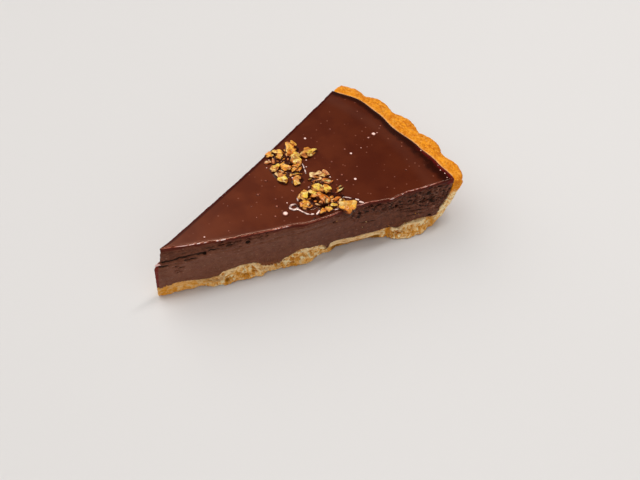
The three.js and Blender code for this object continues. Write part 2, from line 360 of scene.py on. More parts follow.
# How far its foot stands out, how far the edge stands back, and how much its top is raised
CRUST_FOOT = [
    (0, 0), (3, 0), (6, 1), (9, 1.2), (14, 1.4), (25, 1.4), (30, 1.8), (34, 1.3), (37, 0.9), (41, 2.2),
    (46, 1.6), (56, 1.5), (60, 0.5), (66, 1.2), (72, 1.4), (80, 1.2), (88, 0.8), (92, 1), (96, 1.7),
    (100, 2.8), (104, 1.8), (108, 1.2), (112, 1.2), (116, 0),
]
CRUST_TRIM = [
    (0, 0), (8, 0), (14, 1.3), (30, 1.3), (38, 0.5), (46, 0.7), (55, 1.1), (62, 0.6), (70, 0),
    (82, -0.1), (92, 1.1), (99, 0.6), (105, -0.4), (112, 1.1), (120, 1.1),
]
TOP_SHIFT = [
    (0, 0.5), (2, 0.1), (5, 0.1), (8, 1.1), (12, -0.4), (16, -1.5), (19, -2.4), (21, -1.3), (25, -0.6),
    (29, 0.3), (34, -0.3), (36, 0.6), (40, 0), (45, -1.2), (52, 0), (56, -0.9), (62, -0.8), (63.6, -3),
    (65.2, -1), (72, -1.3), (85, -0.8), (91, -1), (95.5, -3), (98, -1), (110, -0.9), (114, 0),
]
# Holes that crumbs fell out of: run, height, length, thickness and depth
CRUST_HOLES = [
    (12.6, 2.2, 1.4, 1.6, 0.4), (17.5, 1.8, 2, 1, 0.5), (22.2, 2.0, 2.6, 2.6, 1),
    (29.5, 2.2, 3.2, 1.6, 0.9), (32.8, 3.2, 2.6, 1.4, 0.9), (41.6, 3.2, 1, 3.4, 0.8),
    (50.5, 3.0, 2.6, 1.8, 0.7), (54.6, 2.0, 1.6, 1.6, 0.7), (90.6, 3.0, 1.6, 5.5, 0.7),
    (95.8, 3.6, 2.6, 1.6, 1), (101, 1.8, 2.2, 1.4, 0.7), (104.5, 3.4, 1.4, 1.8, 0.6),
]
SPLITS = [5.2, 4.1]  # heights of the splits between the layers of the creamy stretch
SPLITS_END = 100  # the run past which there are none
# Below CREAMY_FOOT the creamy stretch gets a dark painted shade, where its foot stands back.
CREAMY_FOOT = 2.4  # the creamy stretch is darkest below this height


def top_shift(spot):
    """How much higher the line between crust and filling is than the solid's, at the near cut."""
    if spot.y > 0:
        return 0
    return along(TOP_SHIFT, radius_of(spot)) * fall(2, 5, behind_near_cut(spot))


def splits(spot, creamy):
    """Thin dark lines between the layers of the creamy stretch."""
    bend = 0.3 * waves(spot, 5)
    return creamy * 0.7 * max(groove(spot.z - level - bend, 0.5) for level in SPLITS)


def near_crust(spot, radius, cut, broken):
    """What is special about the near edge of the base: its relief, shift, golden tint with painted shade,
    and creaminess.
    """
    calm, creamy = along(CALM_STRETCH, radius), along(CREAMY_STRETCH, radius)
    run, height = radius + 0.4 * waves(spot, 1.3), spot.z + 0.4 * waves(spot, 1.1, 3)
    holes = cut * hollows(CRUST_HOLES, run, height)
    relief = broken * blend(1, 0.25, calm) - holes
    if radius < SPLITS_END:
        relief -= splits(spot, creamy)
    out = along(CRUST_FOOT, radius) * fall(1, blend(5, 3.2, creamy), spot.z)
    out -= along(CRUST_TRIM, radius) * fall(7, 12, spot.z)
    shift = NEAR_CUT * (out * cut)
    shift.z = top_shift(spot) * band(2, 5, 9, 12, spot.z)
    # A golden tint along the edge, with painted shade in the holes and under the creamy foot.
    shade = along(GOLDEN_STRETCH, radius) + along(GOLDEN_FOOT, radius) * fall(1.5, 4, spot.z)
    shade = max(shade, 1.3 * holes, 1.6 * creamy * fall(CREAMY_FOOT, CREAMY_FOOT + 0.6, spot.z))
    return relief, shift, shade * cut * fall(9, 12, spot.z), creamy * cut


print("holes in the near edge", len(CRUST_HOLES))

# %% [markdown]
# The rest of the crust follows from where a point is. Above the filling the cut wall is browned, and the
# filling pushed its corner out at the near cut. The base stands out a little under the tip. What lies
# under the filling never shows, so its faces are joined, and the saved ones go to the crumbs.

# %% Carve the crust
CRUST_GRAIN = 0.34
CRUST_KEPT = 0.5  # the share of the faces that are kept
# How high the base reaches at each run: a painted highlight runs just below that line, but not at the
# wall
CRUST_TOP = [
    (-3, 5.3), (5, 4.8), (12, 4.3), (18, 3.5), (25, 6.2), (30, 6.9), (38, 2.3), (42, 2.3), (48, 6.5),
    (60, 6.2), (63, 4), (66, 6.3), (90, 6.2), (95, 5.5), (100, 6.5), (108, 7), (110, 30), (120, 30),
]
BROWNED_FROM = 17.0  # the wall's cut is browned above this height
WALL_FROM = 113  # past this radius the near cut goes through the wall
UNDERCUT_FROM, UNDERCUT_TO = 62, 90
UNDERCUT_DEPTH = 1.0  # how far the foot of the creamy stretch stands back
TIP_REACH = 1.6  # how far the base stands out under the tip
TIP_RUN, TIP_LIFT = 14, 0.5  # up to this run the base's top is raised by so much
FAR_CORNER = 1.9  # how far the rim stands out at the far cut
CORNER_SHIFT = 1.6  # how far the filling pushed the wall out at the near cut
SWELL_HEIGHT = 7  # the wall swells by a millimetre at this height of the near cut
CLOSE_TO_FLOOR = 0.6  # below this height no crumb is pushed through the floor


def undercut(spot, radius):
    """1 on the underside that is drawn forward to make the foot of the creamy stretch."""
    if spot.y >= 0 or not UNDERCUT_FROM < radius < UNDERCUT_TO:
        return 0
    return along(CREAMY_STRETCH, radius) * fall(2.0, 2.8, spot.z) * fall(8, 12, behind_near_cut(spot))


def corner_shifts(spot, radius, cut):
    """How the cut ends of the wall stand out: pairs of a direction and a distance."""
    if spot.y >= 0:
        return [(FAR_CUT, FAR_CORNER * cut * rise(13, 18, spot.z) * rise(111, 114, radius))]
    pushed = band(7, 20, 22, 25, spot.z) * band(109, 113, 113.5, 118, radius)
    swollen = rise(112, 115, radius) * groove(spot.z - SWELL_HEIGHT, SWELL_HEIGHT)
    return [(NEAR_EDGE, CORNER_SHIFT * cut * pushed), (NEAR_EDGE, cut * swollen)]


def crust_rule(spot, normal):
    cut, radius = cut_share(spot, normal), radius_of(spot)
    near, depth = spot.y < 0, behind_near_cut(spot)
    if near and radius > WALL_FROM:
        cut = max(cut, fall(1.5, 2.6, depth))
    broken, moved, gold_and_shade, creamy = crumbs(spot), Vector(), 0, 0
    if near and cut > 0:
        broken, moved, gold_and_shade, creamy = near_crust(spot, radius, cut, broken)
    under = undercut(spot, radius)
    moved += NEAR_CUT * (under * max(depth - UNDERCUT_DEPTH, 0))
    # The drawn-back foot counts as cut face and gets a painted shade.
    cut, gold_and_shade = max(cut, under), max(gold_and_shade, 1.3 * under)
    browned = rise(BROWNED_FROM, BROWNED_FROM + 4, spot.z + 1.5 * waves(spot, 3))
    push = blend(baked_skin(spot), broken - 0.3, cut * blend(1, 0.5, browned))
    shift = normal * push
    if radius < TIP_RUN and normal.z > 0:
        shift.z = max(shift.z, 0) + TIP_LIFT * normal.z
    shift += moved
    if spot.z < CLOSE_TO_FLOOR:
        shift.z = max(shift.z, -spot.z)
    shift.x -= TIP_REACH * fall(0, 10, radius)
    for way, distance in corner_shifts(spot, radius, cut):
        shift += way * distance
    # Painted shade: the deeper a point lies, the darker the material paints it.
    shade = rise(0.3, 1.2, -push) if cut > 0.5 else rise(0.02, 0.25, -push)
    inner = radius - along(RIM_INNER_EDGE, degrees_of(spot)) + 5 * cut
    outward = spot.normalized()
    outer = rise(0.35, 0.85, normal.dot(Vector((outward.x, outward.y, 0)))) * (1 - cut)
    cream_and_lit_top = cut * rise(-1.5, -0.6, spot.z - along(CRUST_TOP, radius) + 0.4 * waves(spot, 1.2))
    cream_and_lit_top = max(cream_and_lit_top * (1 - min(gold_and_shade, 1)), creamy)
    return shift, cut * (1 - browned), max(shade, gold_and_shade), inner, outer, cream_and_lit_top * (1 - browned)


def crust_hidden(spot):
    """1 on the floor of the shell under the filling, and on its underside."""
    inner = radius_of(spot) - along(RIM_INNER_EDGE, degrees_of(spot))
    return rise(4, 5.5, behind_cuts(spot)) * fall(-7, -5, inner)


crust = carving_copy("pastry_shell", "crust", CRUST_GRAIN, 8)
thin_out(crust, crust_hidden, CRUST_KEPT)
carve(crust, crust_rule, ["cut", "shade", "inner", "outer", "cream_and_lit_top"])
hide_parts("pastry_shell")

# %% [markdown]
# ## The ganache
# Ganache cuts like cold butter. The knife leaves the lower part smooth and slightly waxy, with a few
# creases near the tip and fine scratches from the crumbs on its blade. Both follow a line along the cut
# that wavers a little, so a groove is sunk wherever a point's height is close to the line's.

# %% Creases and scratches
# Each crease runs from one run to another at a height, and has a depth
CREASES = [
    (0.5, 23.0, 19.0, 0.75), (0.0, 9.0, 17.2, 0.7), (2.0, 30.0, 22.2, 0.4), (6.0, 15.0, 18.0, 0.5),
    (3.0, 22.0, 20.4, 0.5), (12.0, 26.0, 18.6, 0.35), (44.0, 60.0, 18.0, 0.12), (24.0, 40.0, 15.5, 0.1),
]
# Each scratch goes from a run and height to another run and height
SCRATCHES = [
    ((92, 15.7), (101, 14.3)), ((95, 13.8), (106, 12.3)), ((97, 10.5), (106, 10.2)),
    ((76, 13.4), (84, 12.6)),
]
SCRATCH_DEPTH, SCRATCH_WIDTH, CREASE_WIDTH = 0.55, 0.45, 0.5


def creases(run, height, side):
    depth = 0
    for start, end, level, most in CREASES:
        path = level + 0.5 * noise.noise(Vector((run / 3.2, level, side))) + 0.4 * rise(10, 25, run)
        path += 0.25 * noise.noise(Vector((run / 1.1, level, side)))
        strength = band(start - 1, start + 1, end - 6, end, run)
        strength *= 0.6 + 0.8 * noise.noise(Vector((run / 2.4, level + 3, side)))
        depth += most * max(strength, 0) * groove(height - path, CREASE_WIDTH)
    return depth


def scratches(run, height, side):
    depth = 0
    for (from_run, from_height), (to_run, to_height) in SCRATCHES:
        share = (run - from_run) / (to_run - from_run)
        if 0 < share < 1:
            path = blend(from_height, to_height, share)
            path += 0.25 * noise.noise(Vector((run, side, from_run)))
            fading = math.sin(math.pi * share) ** 0.5
            depth += SCRATCH_DEPTH * groove(height - path, SCRATCH_WIDTH) * fading
    return depth


print("creases", len(CREASES), "and scratches", len(SCRATCHES))

# %% [markdown]
# Higher up, and towards the rim, the knife tore the ganache and dragged it along. Stretching noise along
# the cut turns round bumps into drag marks, which is quicker than carving them one by one. Only the
# deepest gashes of the near cut are listed, as their rhythm is what one sees first.

# %% Torn chocolate
# The height above which the cut is torn, how torn it is there, and the height where pits are thickest
TORN_FROM = [
    (0, 30), (16, 24), (22, 19.2), (34, 19.4), (44, 22), (58, 22), (72, 18), (84, 16.5), (98, 16),
    (108, 11), (120, 9),
]
TORN_SHARE = [(0, 0.2), (14, 0.3), (22, 0.75), (36, 0.7), (44, 0.35), (60, 0.4), (74, 1), (120, 1)]
PIT_ROW = [(20, 20.3), (36, 20.6), (60, 20), (78, 18.9), (86, 18.2), (96, 18.8), (108, 17), (120, 16)]
# Gashes: run, height, length, thickness and depth
GASHES = [
    (0, 16.5, 1.7, 0.8, 0.7), (4.8, 15.7, 2.2, 0.7, 0.9), (5, 13.6, 2.2, 0.6, 0.9),
    (5.2, 12.3, 2, 0.6, 0.8), (6.2, 14.5, 2, 0.6, 0.9), (9.8, 17.4, 5, 0.9, 1),
    (14.8, 18.5, 1.3, 1.2, 0.9), (21, 20.9, 2.2, 0.8, 0.8), (23.7, 19.7, 3.2, 1.4, 1),
    (27.9, 17.7, 1.2, 1, 0.6), (30.8, 19.1, 2.2, 1.7, 1), (33, 20.9, 4.4, 1, 1),
    (36, 19.2, 1, 1.2, 0.6), (38.1, 20.5, 1.5, 2, 1), (40.6, 22.5, 3, 0.7, 0.8),
    (43.7, 21.1, 6, 0.8, 0.8), (47.6, 20.6, 1.4, 1.4, 0.8), (50, 20.7, 5, 1.2, 0.7),
    (65.4, 17.8, 1.7, 0.8, 0.7), (76, 19.5, 1.7, 1.6, 0.6), (78.8, 18.5, 2.2, 1.8, 0.8),
    (80, 21.8, 1.8, 0.9, 0.6), (82, 20.2, 1.5, 1.2, 0.7), (86.5, 18.2, 1.9, 2.4, 1),
    (86.6, 21, 1.2, 1.4, 0.7), (88.6, 22, 1.4, 0.8, 0.7), (90, 20, 1, 1.6, 0.6),
    (92.3, 18.4, 1.5, 1.8, 1), (93, 21.3, 1, 1.7, 0.7), (94.4, 16.7, 2.3, 1.1, 1),
    (94.8, 14.8, 2.3, 0.7, 0.7), (97.7, 19.2, 2.3, 1.6, 1), (98.6, 15.2, 3.6, 0.5, 0.6),
    (100, 21.2, 1.7, 0.9, 0.7), (101.5, 13, 5.5, 0.7, 0.9), (103, 17.4, 2.1, 1.2, 1),
    (104.6, 18.5, 1.9, 1.4, 1), (105.8, 22.4, 2.7, 1, 0.8), (107.6, 20, 1.2, 1.8, 0.8),
    (107.7, 16.8, 1.5, 2, 1), (108.8, 8, 3.2, 1, 0.8), (110, 22.2, 1.1, 1.5, 0.8),
    (112, 11.5, 1.2, 2, 0.7),
]
# The cut gets darker from the first run to the second, and above a lip at these heights
DEEP_FROM, DEEP_TO, RIM_DEEP = 30, 96, 0.7
LIP_FROM = [(0, 18), (20, 18.6), (30, 20.5), (45, 21), (60, 20.5), (75, 18)]
LIP_DEEP = 0.55


def drag_marks(run, height, side, length, thickness):
    """Noise drawn out along the cut and slanting a little, as a blade leaves it."""
    return noise.noise(Vector((run / length, (height + 0.12 * run) / thickness, side)))


def torn_face(run, height, side):
    """The relief of the torn part of a cut, how torn it is, and its pits and ridges for painted shade and
    highlight.
    """
    gash = 0
    if side < 0:
        blur = Vector((run / 0.9, height / 0.7, 1))
        gash = hollows(GASHES, run + 0.5 * noise.noise(blur), height + 0.4 * noise.noise(2 * blur))
    uneven = 3.2 * noise.noise(Vector((run / 6, side, 2)))
    uneven += 1.6 * noise.noise(Vector((run / 1.7, height / 2, side)))
    torn = rise(-2.2, 1.8, height - along(TORN_FROM, run) + uneven) * along(TORN_SHARE, run)
    ridges = 0.3 * drag_marks(run, height, side, 2.2, 0.7)
    ridges += 0.26 * drag_marks(run, height + 0.5 * run, side + 9, 1.1, 0.6)
    row = groove(height - along(PIT_ROW, run), 3.0)
    pits = rise(0.42 - 0.3 * row, 0.6 - 0.3 * row, drag_marks(run, height, side + 4, 1.5, 0.85))
    cracks = rise(0.3, 0.45, drag_marks(run, height - 0.3 * run, side + 6, 1.5, 0.4))
    ribs = 0.35 * noise.noise(Vector((run / 0.8, height / 5, side))) * rise(98, 103, run)
    if side < 0:
        pits *= 0.5
    dark = max(torn * max(pits, 0.6 * cracks), gash)
    relief = torn * (ridges + ribs - 0.9 * max(pits, 0.5 * cracks)) - 0.9 * gash
    return relief, max(torn, gash), dark, torn * rise(0.06, 0.2, ridges + ribs)


def deepness(run, height):
    """How much darker the cut is at the rim end and over the creases."""
    lip = LIP_DEEP * rise(-1, 1.2, height - along(LIP_FROM, run))
    return max(RIM_DEEP * rise(DEEP_FROM, DEEP_TO, run), lip)


print("gashes", len(GASHES))

# %% [markdown]
# The tip of the filling is a stump with a step in it: its upper half is blunt and stands out, and below
# the ledge its face stands back and is dark red, and the ledge gets a painted highlight. In one place
# the blade dragged chocolate down over the crust. Both are part of the rule that moves the points of
# the ganache.

# %% Carve the ganache
GANACHE_GRAIN = 0.32
GANACHE_KEPT = 0.55  # the share of the faces that are kept
SMEAR = [(34, 0), (36.5, 1), (42.5, 1), (46, 0)]  # how much of it there is at each run
SMEAR_TOP = 8.5
SMEAR_THICKNESS = 1.2
NOSE_SHIFT, LOWER_NOSE_SHIFT = 1.2, 1.1  # how far the halves of the tip stand out
TIP_DROP = 0.9  # how far the tip hangs down over the crust
# Where the bare face of the tip starts along the near cut, at the floor and at the ledge's height
TIP_FACE_FOOT, TIP_FACE_TOP = -3.4, -1.0
TIP_FACE_HEIGHT = 18
TIP_FACE_DEPTH = 0.5  # how far it stands back
LEDGE_LENGTH = 0.9
FACE_TINT, LEDGE_TINT = 0.7, 1.7  # the notes that the material turns into a red face and a painted highlight on the ledge


def tip_face(spot, normal):
    """The bare face of the tip, and the ledge above it, as two shares."""
    ledge = rise(0.1, 0.4, normal.z) * rise(15, 16.5, spot.z)
    edge = blend(TIP_FACE_FOOT, TIP_FACE_TOP, min(spot.z / TIP_FACE_HEIGHT, 1)) + LEDGE_LENGTH * ledge
    return fall(edge - 0.2, edge + 0.1, spot.dot(NEAR_EDGE)) * fall(18.4, 19.2, spot.z), ledge


def ganache_rule(spot, normal):
    cut = cut_share(spot, normal)
    if cut == 0:
        return Vector(), 0, 0, 0, 0, 0, 0
    radius, near = radius_of(spot), spot.y < 0
    side = math.copysign(7, spot.y)
    height = spot.z - LEAN * wander(spot)
    relief, torn, pits, ridge = torn_face(radius, height, side)
    lines = creases(radius, height, side) + scratches(radius, height, side)
    satin = 0.1 * drag_marks(radius, spot.z, side, 14, 1.8) + 0.06 * waves(spot, 2.2)
    smear = 0
    if near and spot.z < SMEAR_TOP:
        smear = along(SMEAR, radius) * fall(SMEAR_TOP - 3, SMEAR_TOP, spot.z)
    push = cut * (relief + satin - lines + smear * (SMEAR_THICKNESS + 0.3 * math.sin(5.2 * radius)))
    shift = normal * push + NEAR_CUT * wander(spot)
    shift.x -= NOSE_SHIFT * fall(0, 7, radius) * rise(17.5, 18.5, spot.z)
    shift.x -= LOWER_NOSE_SHIFT * fall(0, 9, radius) * fall(17.2, 17.8, spot.z)
    shift.z += top_shift(spot) * fall(6.5, 10, spot.z)
    if near:
        corner = rise(7, 20, spot.z) * rise(106, 113, radius) * fall(1, 5, behind_near_cut(spot))
        shift += NEAR_EDGE * (CORNER_SHIFT * corner)
    shift.z -= TIP_DROP * fall(6, 14, radius) * fall(6, 9, spot.z)
    face, ledge = tip_face(spot, normal)
    if near:
        shift -= NEAR_CUT * (TIP_FACE_DEPTH * face)
    tint = face * blend(FACE_TINT, LEDGE_TINT, ledge)
    torn = max(torn, deepness(radius, height))
    thin = smear * fall(3.5, 7, spot.z + 1.2 * waves(spot, 0.9))
    # the hollow note holds pits, creases and scratches, which the material paints in shade
    return shift, cut, torn, max(pits, rise(0.08, 0.45, lines)), ridge, tint, thin


def ganache_hidden(spot):
    """1 where the filling is too deep behind the cuts to show."""
    return rise(4, 5.5, behind_cuts(spot))


ganache = carving_copy("ganache_filling", "ganache", GANACHE_GRAIN, 3)
thin_out(ganache, ganache_hidden, GANACHE_KEPT)
carve(ganache, ganache_rule, ["cut", "torn", "hollow", "ridge", "foot", "thin"])
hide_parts("ganache_filling")

# %% [markdown]
# ## The glaze
# The glaze was poured on warm and set with a slight dip, climbing the crust a little. Its gloss shows
# every flaw of a surface, so it isn't a remade copy of the solid. It starts as one clean grid: the middle
# is the shiny top, and the borders roll over the edge in a quarter circle and hang down as the cut sides.
# The tip is a small circle between the two cuts, and the rolled edge gets tighter there.

# %% Glaze form
GLAZE_HEIGHT = 25.9
GLAZE_THICKNESS = 2.55
GLAZE_SAG = 1.3
MENISCUS_RISE, MENISCUS_WIDTH = 0.5, 9
GLAZE_ALONG, GLAZE_ACROSS = 230, 120  # faces of the grid
FLAT_SHARE, ROLLED_SHARE = 0.8, 0.9  # of the grid's half width: shiny top, rolled edge, then side
TIP_ROUNDING = 0.25
EDGE_ROUNDING = 0.6
SMALLEST_ROUNDING = 0.02  # of the half width, at the very tip
NEAR_BULGE, NEAR_BULGE_LENGTH = 0.9, 85
CRUST_OVERLAP = 0.3  # how far the grid reaches into the crust
HEM_DEPTH, HEM_SHARE = 1.6, 0.97  # its hidden hem goes so deep into the filling, and is so much smaller


def glaze_top(radius):
    """Height of the set glaze: it dips between the tip and the rim, and climbs the crust."""
    rim = along(RIM_INNER_EDGE, 0)
    dip = GLAZE_SAG * math.sin(math.pi * min(radius / rim, 1)) ** 1.2
    return GLAZE_HEIGHT - dip + MENISCUS_RISE * rise(rim - MENISCUS_WIDTH, rim, radius)


def half_width(x):
    """Half the width of the slice at a distance along its middle, with a rounded tip."""
    middle = TIP_ROUNDING / math.sin(HALF_ANGLE)
    touch = middle - TIP_ROUNDING * math.sin(HALF_ANGLE)
    if x >= touch:
        return x * math.tan(HALF_ANGLE)
    return math.sqrt(max(TIP_ROUNDING ** 2 - (middle - x) ** 2, 0))


def near_bulge(run):
    """How far the near side of the slice swells out of the straight cut."""
    return NEAR_BULGE * math.sin(math.pi * min(run / NEAR_BULGE_LENGTH, 1)) ** 2


def edge_bulge(run):
    """How far the glaze's near edge stands out, with what the knife's wander adds."""
    return near_bulge(run) + along(KNIFE_WANDER, run)


def glaze_spot(run, across):
    """A spot on the glaze: run from 0 at the tip to 1 at the crust, across from -1 to 1."""
    side = math.copysign(1, across)
    share = abs(across)
    start = TIP_ROUNDING / math.sin(HALF_ANGLE) - TIP_ROUNDING
    flat = min(share / FLAT_SHARE, 1)
    rim = along(RIM_INNER_EDGE, side * flat * math.degrees(HALF_ANGLE))
    end = rim * math.cos(flat * HALF_ANGLE) + CRUST_OVERLAP
    x = blend(start, end, run ** 1.25)
    width = half_width(x)
    rounding = max(min(EDGE_ROUNDING, 0.5 * width), SMALLEST_ROUNDING * width)
    turn = math.pi / 2 * min(max((share - FLAT_SHARE) / (ROLLED_SHARE - FLAT_SHARE), 0), 1)
    drop = max((share - ROLLED_SHARE) / (1 - ROLLED_SHARE), 0) * (GLAZE_THICKNESS - rounding)
    out = flat * (width - rounding) + rounding * math.sin(turn)
    spot = Vector((x, side * out, 0))
    if across < 0:
        spot += NEAR_CUT * (edge_bulge(x) * (out / max(width, 0.01)) ** 6)
    spot.z = glaze_top(radius_of(spot)) - rounding * (1 - math.cos(turn)) - drop
    return spot


def middle_of(verts):
    return sum((vert.co for vert in verts), Vector()) / len(verts)


def glaze_form():
    form = bmesh.new()
    bmesh.ops.create_grid(form, x_segments=GLAZE_ALONG, y_segments=GLAZE_ACROSS, size=0.5)
    for vert in form.verts:
        vert.co = TART_CENTRE + glaze_spot(vert.co.x + 0.5, 2 * vert.co.y) * MM
    bmesh.ops.remove_doubles(form, verts=form.verts, dist=0.002 * MM)
    border = [edge for edge in form.edges if edge.is_boundary]
    hem = bmesh.ops.extrude_edge_only(form, edges=border)["geom"]
    low = [item for item in hem if isinstance(item, bmesh.types.BMVert)]
    for vert in low:
        vert.co.z = (GLAZE_HEIGHT - GLAZE_THICKNESS - HEM_DEPTH) * MM
    about = Matrix.Translation(-middle_of(low))
    bmesh.ops.scale(form, verts=low, vec=(HEM_SHARE, HEM_SHARE, 1), space=about)
    bmesh.ops.contextual_create(form, geom=[edge for edge in form.edges if edge.is_boundary])
    bmesh.ops.recalc_face_normals(form, faces=form.faces)
    return form


glaze = new_piece("glaze", glaze_form())
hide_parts("glaze_with_nuts")
print("faces of the glaze", len(glaze.data.polygons))

# %% [markdown]
# The carving rule then tears the sides like the ganache below, and leaves notes for the material: how far
# the rim is, where the glaze is a thin jelly on the crust, where its edge is dull, and where the rolled
# near edge gleams. The shiny top only gets a faint ripple.

# %% Carve the glaze
# How strongly the rolled near edge gleams at each run
GLEAM = [
    (0, 0.2), (4, 0.4), (8, 0.8), (15, 1), (17, 0.2), (19, 0.2), (20, 1.2), (22, 1.1), (24, 0.45),
    (34, 0.4), (40, 0.35), (42, 1), (46, 1), (48, 0.15), (56, 0.25), (60, 0.5), (76, 0.7), (82, 0.7),
    (83.5, 0.1), (87, 0.1), (88.5, 1.2), (92, 1.1), (97, 0.8), (106, 0.8), (110, 0.3), (114, 0),
]
GLEAM_FACING, GLEAM_WIDTH = 0.6, 0.24  # the facing of the rolled edge that gleams, and its spread
JELLY_FROM, JELLY_FULL = 5, 11  # the jelly starts between these degrees towards the near cut
SIDE_DEPTH = 0.7  # the torn side starts this deep below the top, and twice as deep in places
GLAZE_NOSE = 0.65  # the glaze's tip stands out by this share of the ganache's


def edge_gleam(spot, normal, radius, depth):
    """How much a spot of the rolled near edge gleams."""
    gleam = along(GLEAM, radius) * groove(normal.dot(NEAR_CUT) - GLEAM_FACING, GLEAM_WIDTH)
    gleam *= fall(0.3, 0.7, depth)
    return gleam * blend(0.3, 1.2, rise(-0.25, 0.1, waves(spot, 0.9)))


def glaze_rule(spot, normal):
    radius, turn = radius_of(spot), degrees_of(spot)
    depth = glaze_top(radius) - spot.z
    near, inward = spot.y < 0, behind_cuts(spot)
    rim = along(RIM_INNER_EDGE, turn) - radius
    reach = rim - 1.6 * rise(0.3, 1.2, depth) + 0.9 * waves(spot, 1.2)
    jelly = fall(0.3, 1.8, reach) * rise(JELLY_FROM, JELLY_FULL, -turn)
    start = SIDE_DEPTH + SIDE_DEPTH * rise(-0.3, 0.3, waves(spot, 5))
    cut = cut_share(spot, normal) * rise(start, start + 0.4, depth) * (1 - jelly)
    height = spot.z - LEAN * (edge_bulge(radius) if near else 0)
    relief, torn, pits, ridge = torn_face(radius, height, math.copysign(7, spot.y))
    uneven = fall(0.2, 0.9, inward) * rise(3, 12, radius) * fall(0.8, 0.97, normal.z)
    ripple = 0.015 * waves(spot, 6) + uneven * (0.13 * waves(spot, 1.4) + 0.12 * waves(spot, 4))
    edge = -rise(0.4, 0.8, normal.dot(NEAR_CUT if near else FAR_CUT))
    gleam = edge_gleam(spot, normal, radius, depth) if near else 0
    shift = normal * (cut * relief + ripple)
    shift.x -= GLAZE_NOSE * NOSE_SHIFT * fall(0, 7, radius)
    torn = max(torn, deepness(radius, height))
    # the painted shade towards the crust reaches further on the near side
    rim = rim * blend(1.35, 0.6, rise(-10, 18, -turn)) + 1.4 * waves(spot, 2.4)
    if not near:  # a dark dull line runs along the far edge too
        rim = min(rim, 1 + 3 * rise(0.8, 1.6, inward) + 120 * rise(1.5, 2.1, inward))
        edge = min(edge, rise(0.6, 1.5, inward) - 1)
    return shift, cut, torn, pits * cut, ridge * cut, rim, jelly, edge, gleam


carve(glaze, glaze_rule, ["cut", "torn", "hollow", "ridge", "rim", "jelly", "edge", "gleam"])

# %% [markdown]
# ## Chopped nuts
# A chopped nut has flat faces where the blade went and sharp edges between them. Each piece starts as a
# sphere, and each of its points is pulled in until it meets the nearest of a few planes. Taking a soft
# minimum over the planes leaves the edges slightly rounded, as a worn knife does. The sphere stays closed
# however many planes it gets, which is why it isn't cut open and filled. All pieces share one mesh.

# %% Chopping
EDGE_SHARPNESS = 34
NUT_REACH = 0.8  # how far a plane stays from the middle, on average
LONGEST_REACH = 1.15  # how far a corner may be from the middle
SIDES = [(1, 0, 0), (-1, 0, 0), (0, 1, 0), (0, -1, 0), (0, 0, 1), (0, 0, -1)]
CORNER_PLANES = 5
ASKEW = 0.3  # how far a side plane leans
CHOPPED_HALF = 0.62  # a little over half a side, since the planes take some off


def ball_mesh(detail):
    """A sphere to copy, one unit in radius."""
    form = bmesh.new()
    bmesh.ops.create_icosphere(form, subdivisions=detail, radius=1)
    mesh = bpy.data.meshes.new(f"ball_{detail}")
    form.to_mesh(mesh)
    form.free()
    return mesh


COARSE_BALL, FINE_BALL = ball_mesh(2), ball_mesh(4)
print("faces of a coarse and a fine ball:", [len(ball.polygons) for ball in (COARSE_BALL, FINE_BALL)])


def add_ball(form, ball):
    """Adds a copy of a ball and returns its points."""
    first = len(form.verts)
    form.from_mesh(ball)
    form.verts.ensure_lookup_table()
    return form.verts[first:]


def put(form, verts, size, turn, place, tilt=(0.0, 0.0)):
    """Sizes a ball by its half sides in millimetres, tilts and turns it, and puts it in its place."""
    matrix = (
        Matrix.Translation(place) @ Matrix.Rotation(math.radians(turn), 4, "Z")
        @ Matrix.Rotation(tilt[0], 4, "X") @ Matrix.Rotation(tilt[1], 4, "Y")
        @ Matrix.Diagonal(Vector(size) * MM).to_4x4()
    )
    bmesh.ops.transform(form, matrix=matrix, verts=verts)


def random_way(rng, size):
    return Vector([rng.gauss(0, size) for _ in range(3)])


def knife_planes(rng):
    """Planes about a chopped piece: one to each side, askew, and a few more across its corners."""
    ways = [(Vector(side) + random_way(rng, ASKEW)).normalized() for side in SIDES]
    ways += [random_way(rng, 1).normalized() for _ in range(CORNER_PLANES)]
    return [(way, NUT_REACH * rng.uniform(0.85, 1.1), rng.random()) for way in ways]


def chop(verts, rng):
    """Pulls the points of a ball in to a few planes, and returns the tone of each point's plane."""
    planes = knife_planes(rng)
    tones = []
    for vert in verts:
        way = vert.co.normalized()
        reaches = [reach / max(way.dot(facing), 0.05) for facing, reach, _ in planes]
        nearest = min(range(len(planes)), key=reaches.__getitem__)
        reaches.append(LONGEST_REACH)
        total = sum(math.exp(-EDGE_SHARPNESS * reach) for reach in reaches)
        vert.co = way * (-math.log(total) / EDGE_SHARPNESS)
        tones.append(planes[nearest][2])
    return tones


def on_glaze(x, y, height, sink):
    """Where the middle of a piece lies when it sits in the glaze."""
    return TART_CENTRE + Vector((x, y, glaze_top(math.hypot(x, y)) + height / 2 - sink)) * MM


def roughen(piece, size, depth, crumbly=0.0):
    """Gives smooth faces a grain of a given size and depth, in millimetres, and notes its dents."""
    places, dents = [], []
    for vertex in piece.data.vertices:
        spot = from_centre(vertex.co)
        bump_height = depth * (waves(spot, size) + 0.5 * waves(spot, size / 2.3))
        bump_height += crumbly * bumps(spot, 1.2 * size)
        places.extend(vertex.co + vertex.normal * (bump_height * MM))
        dents.append(rise(0.0, 0.8 * depth, -bump_height))
    piece.data.vertices.foreach_set("co", places)
    piece.data.update()
    leave_note(piece, "dent", dents)


def make_chopped(name, ball, rows, seed):
    """One piece from rows of place, size, turn and tint."""
    form = bmesh.new()
    rng = random.Random(seed)
    tones, tints = [], []
    for place, size, turn, tint in rows:
        verts = add_ball(form, ball)
        tones += chop(verts, rng)
        tints += [tint] * len(verts)
        half = [CHOPPED_HALF * side for side in size]
        put(form, verts, half, turn, place, (rng.uniform(-0.25, 0.25), rng.uniform(-0.2, 0.2)))
    piece = new_piece(name, form)
    leave_note(piece, "tone", tones)
    leave_note(piece, "tint", tints)
    print(name, len(rows), "pieces")
    return piece
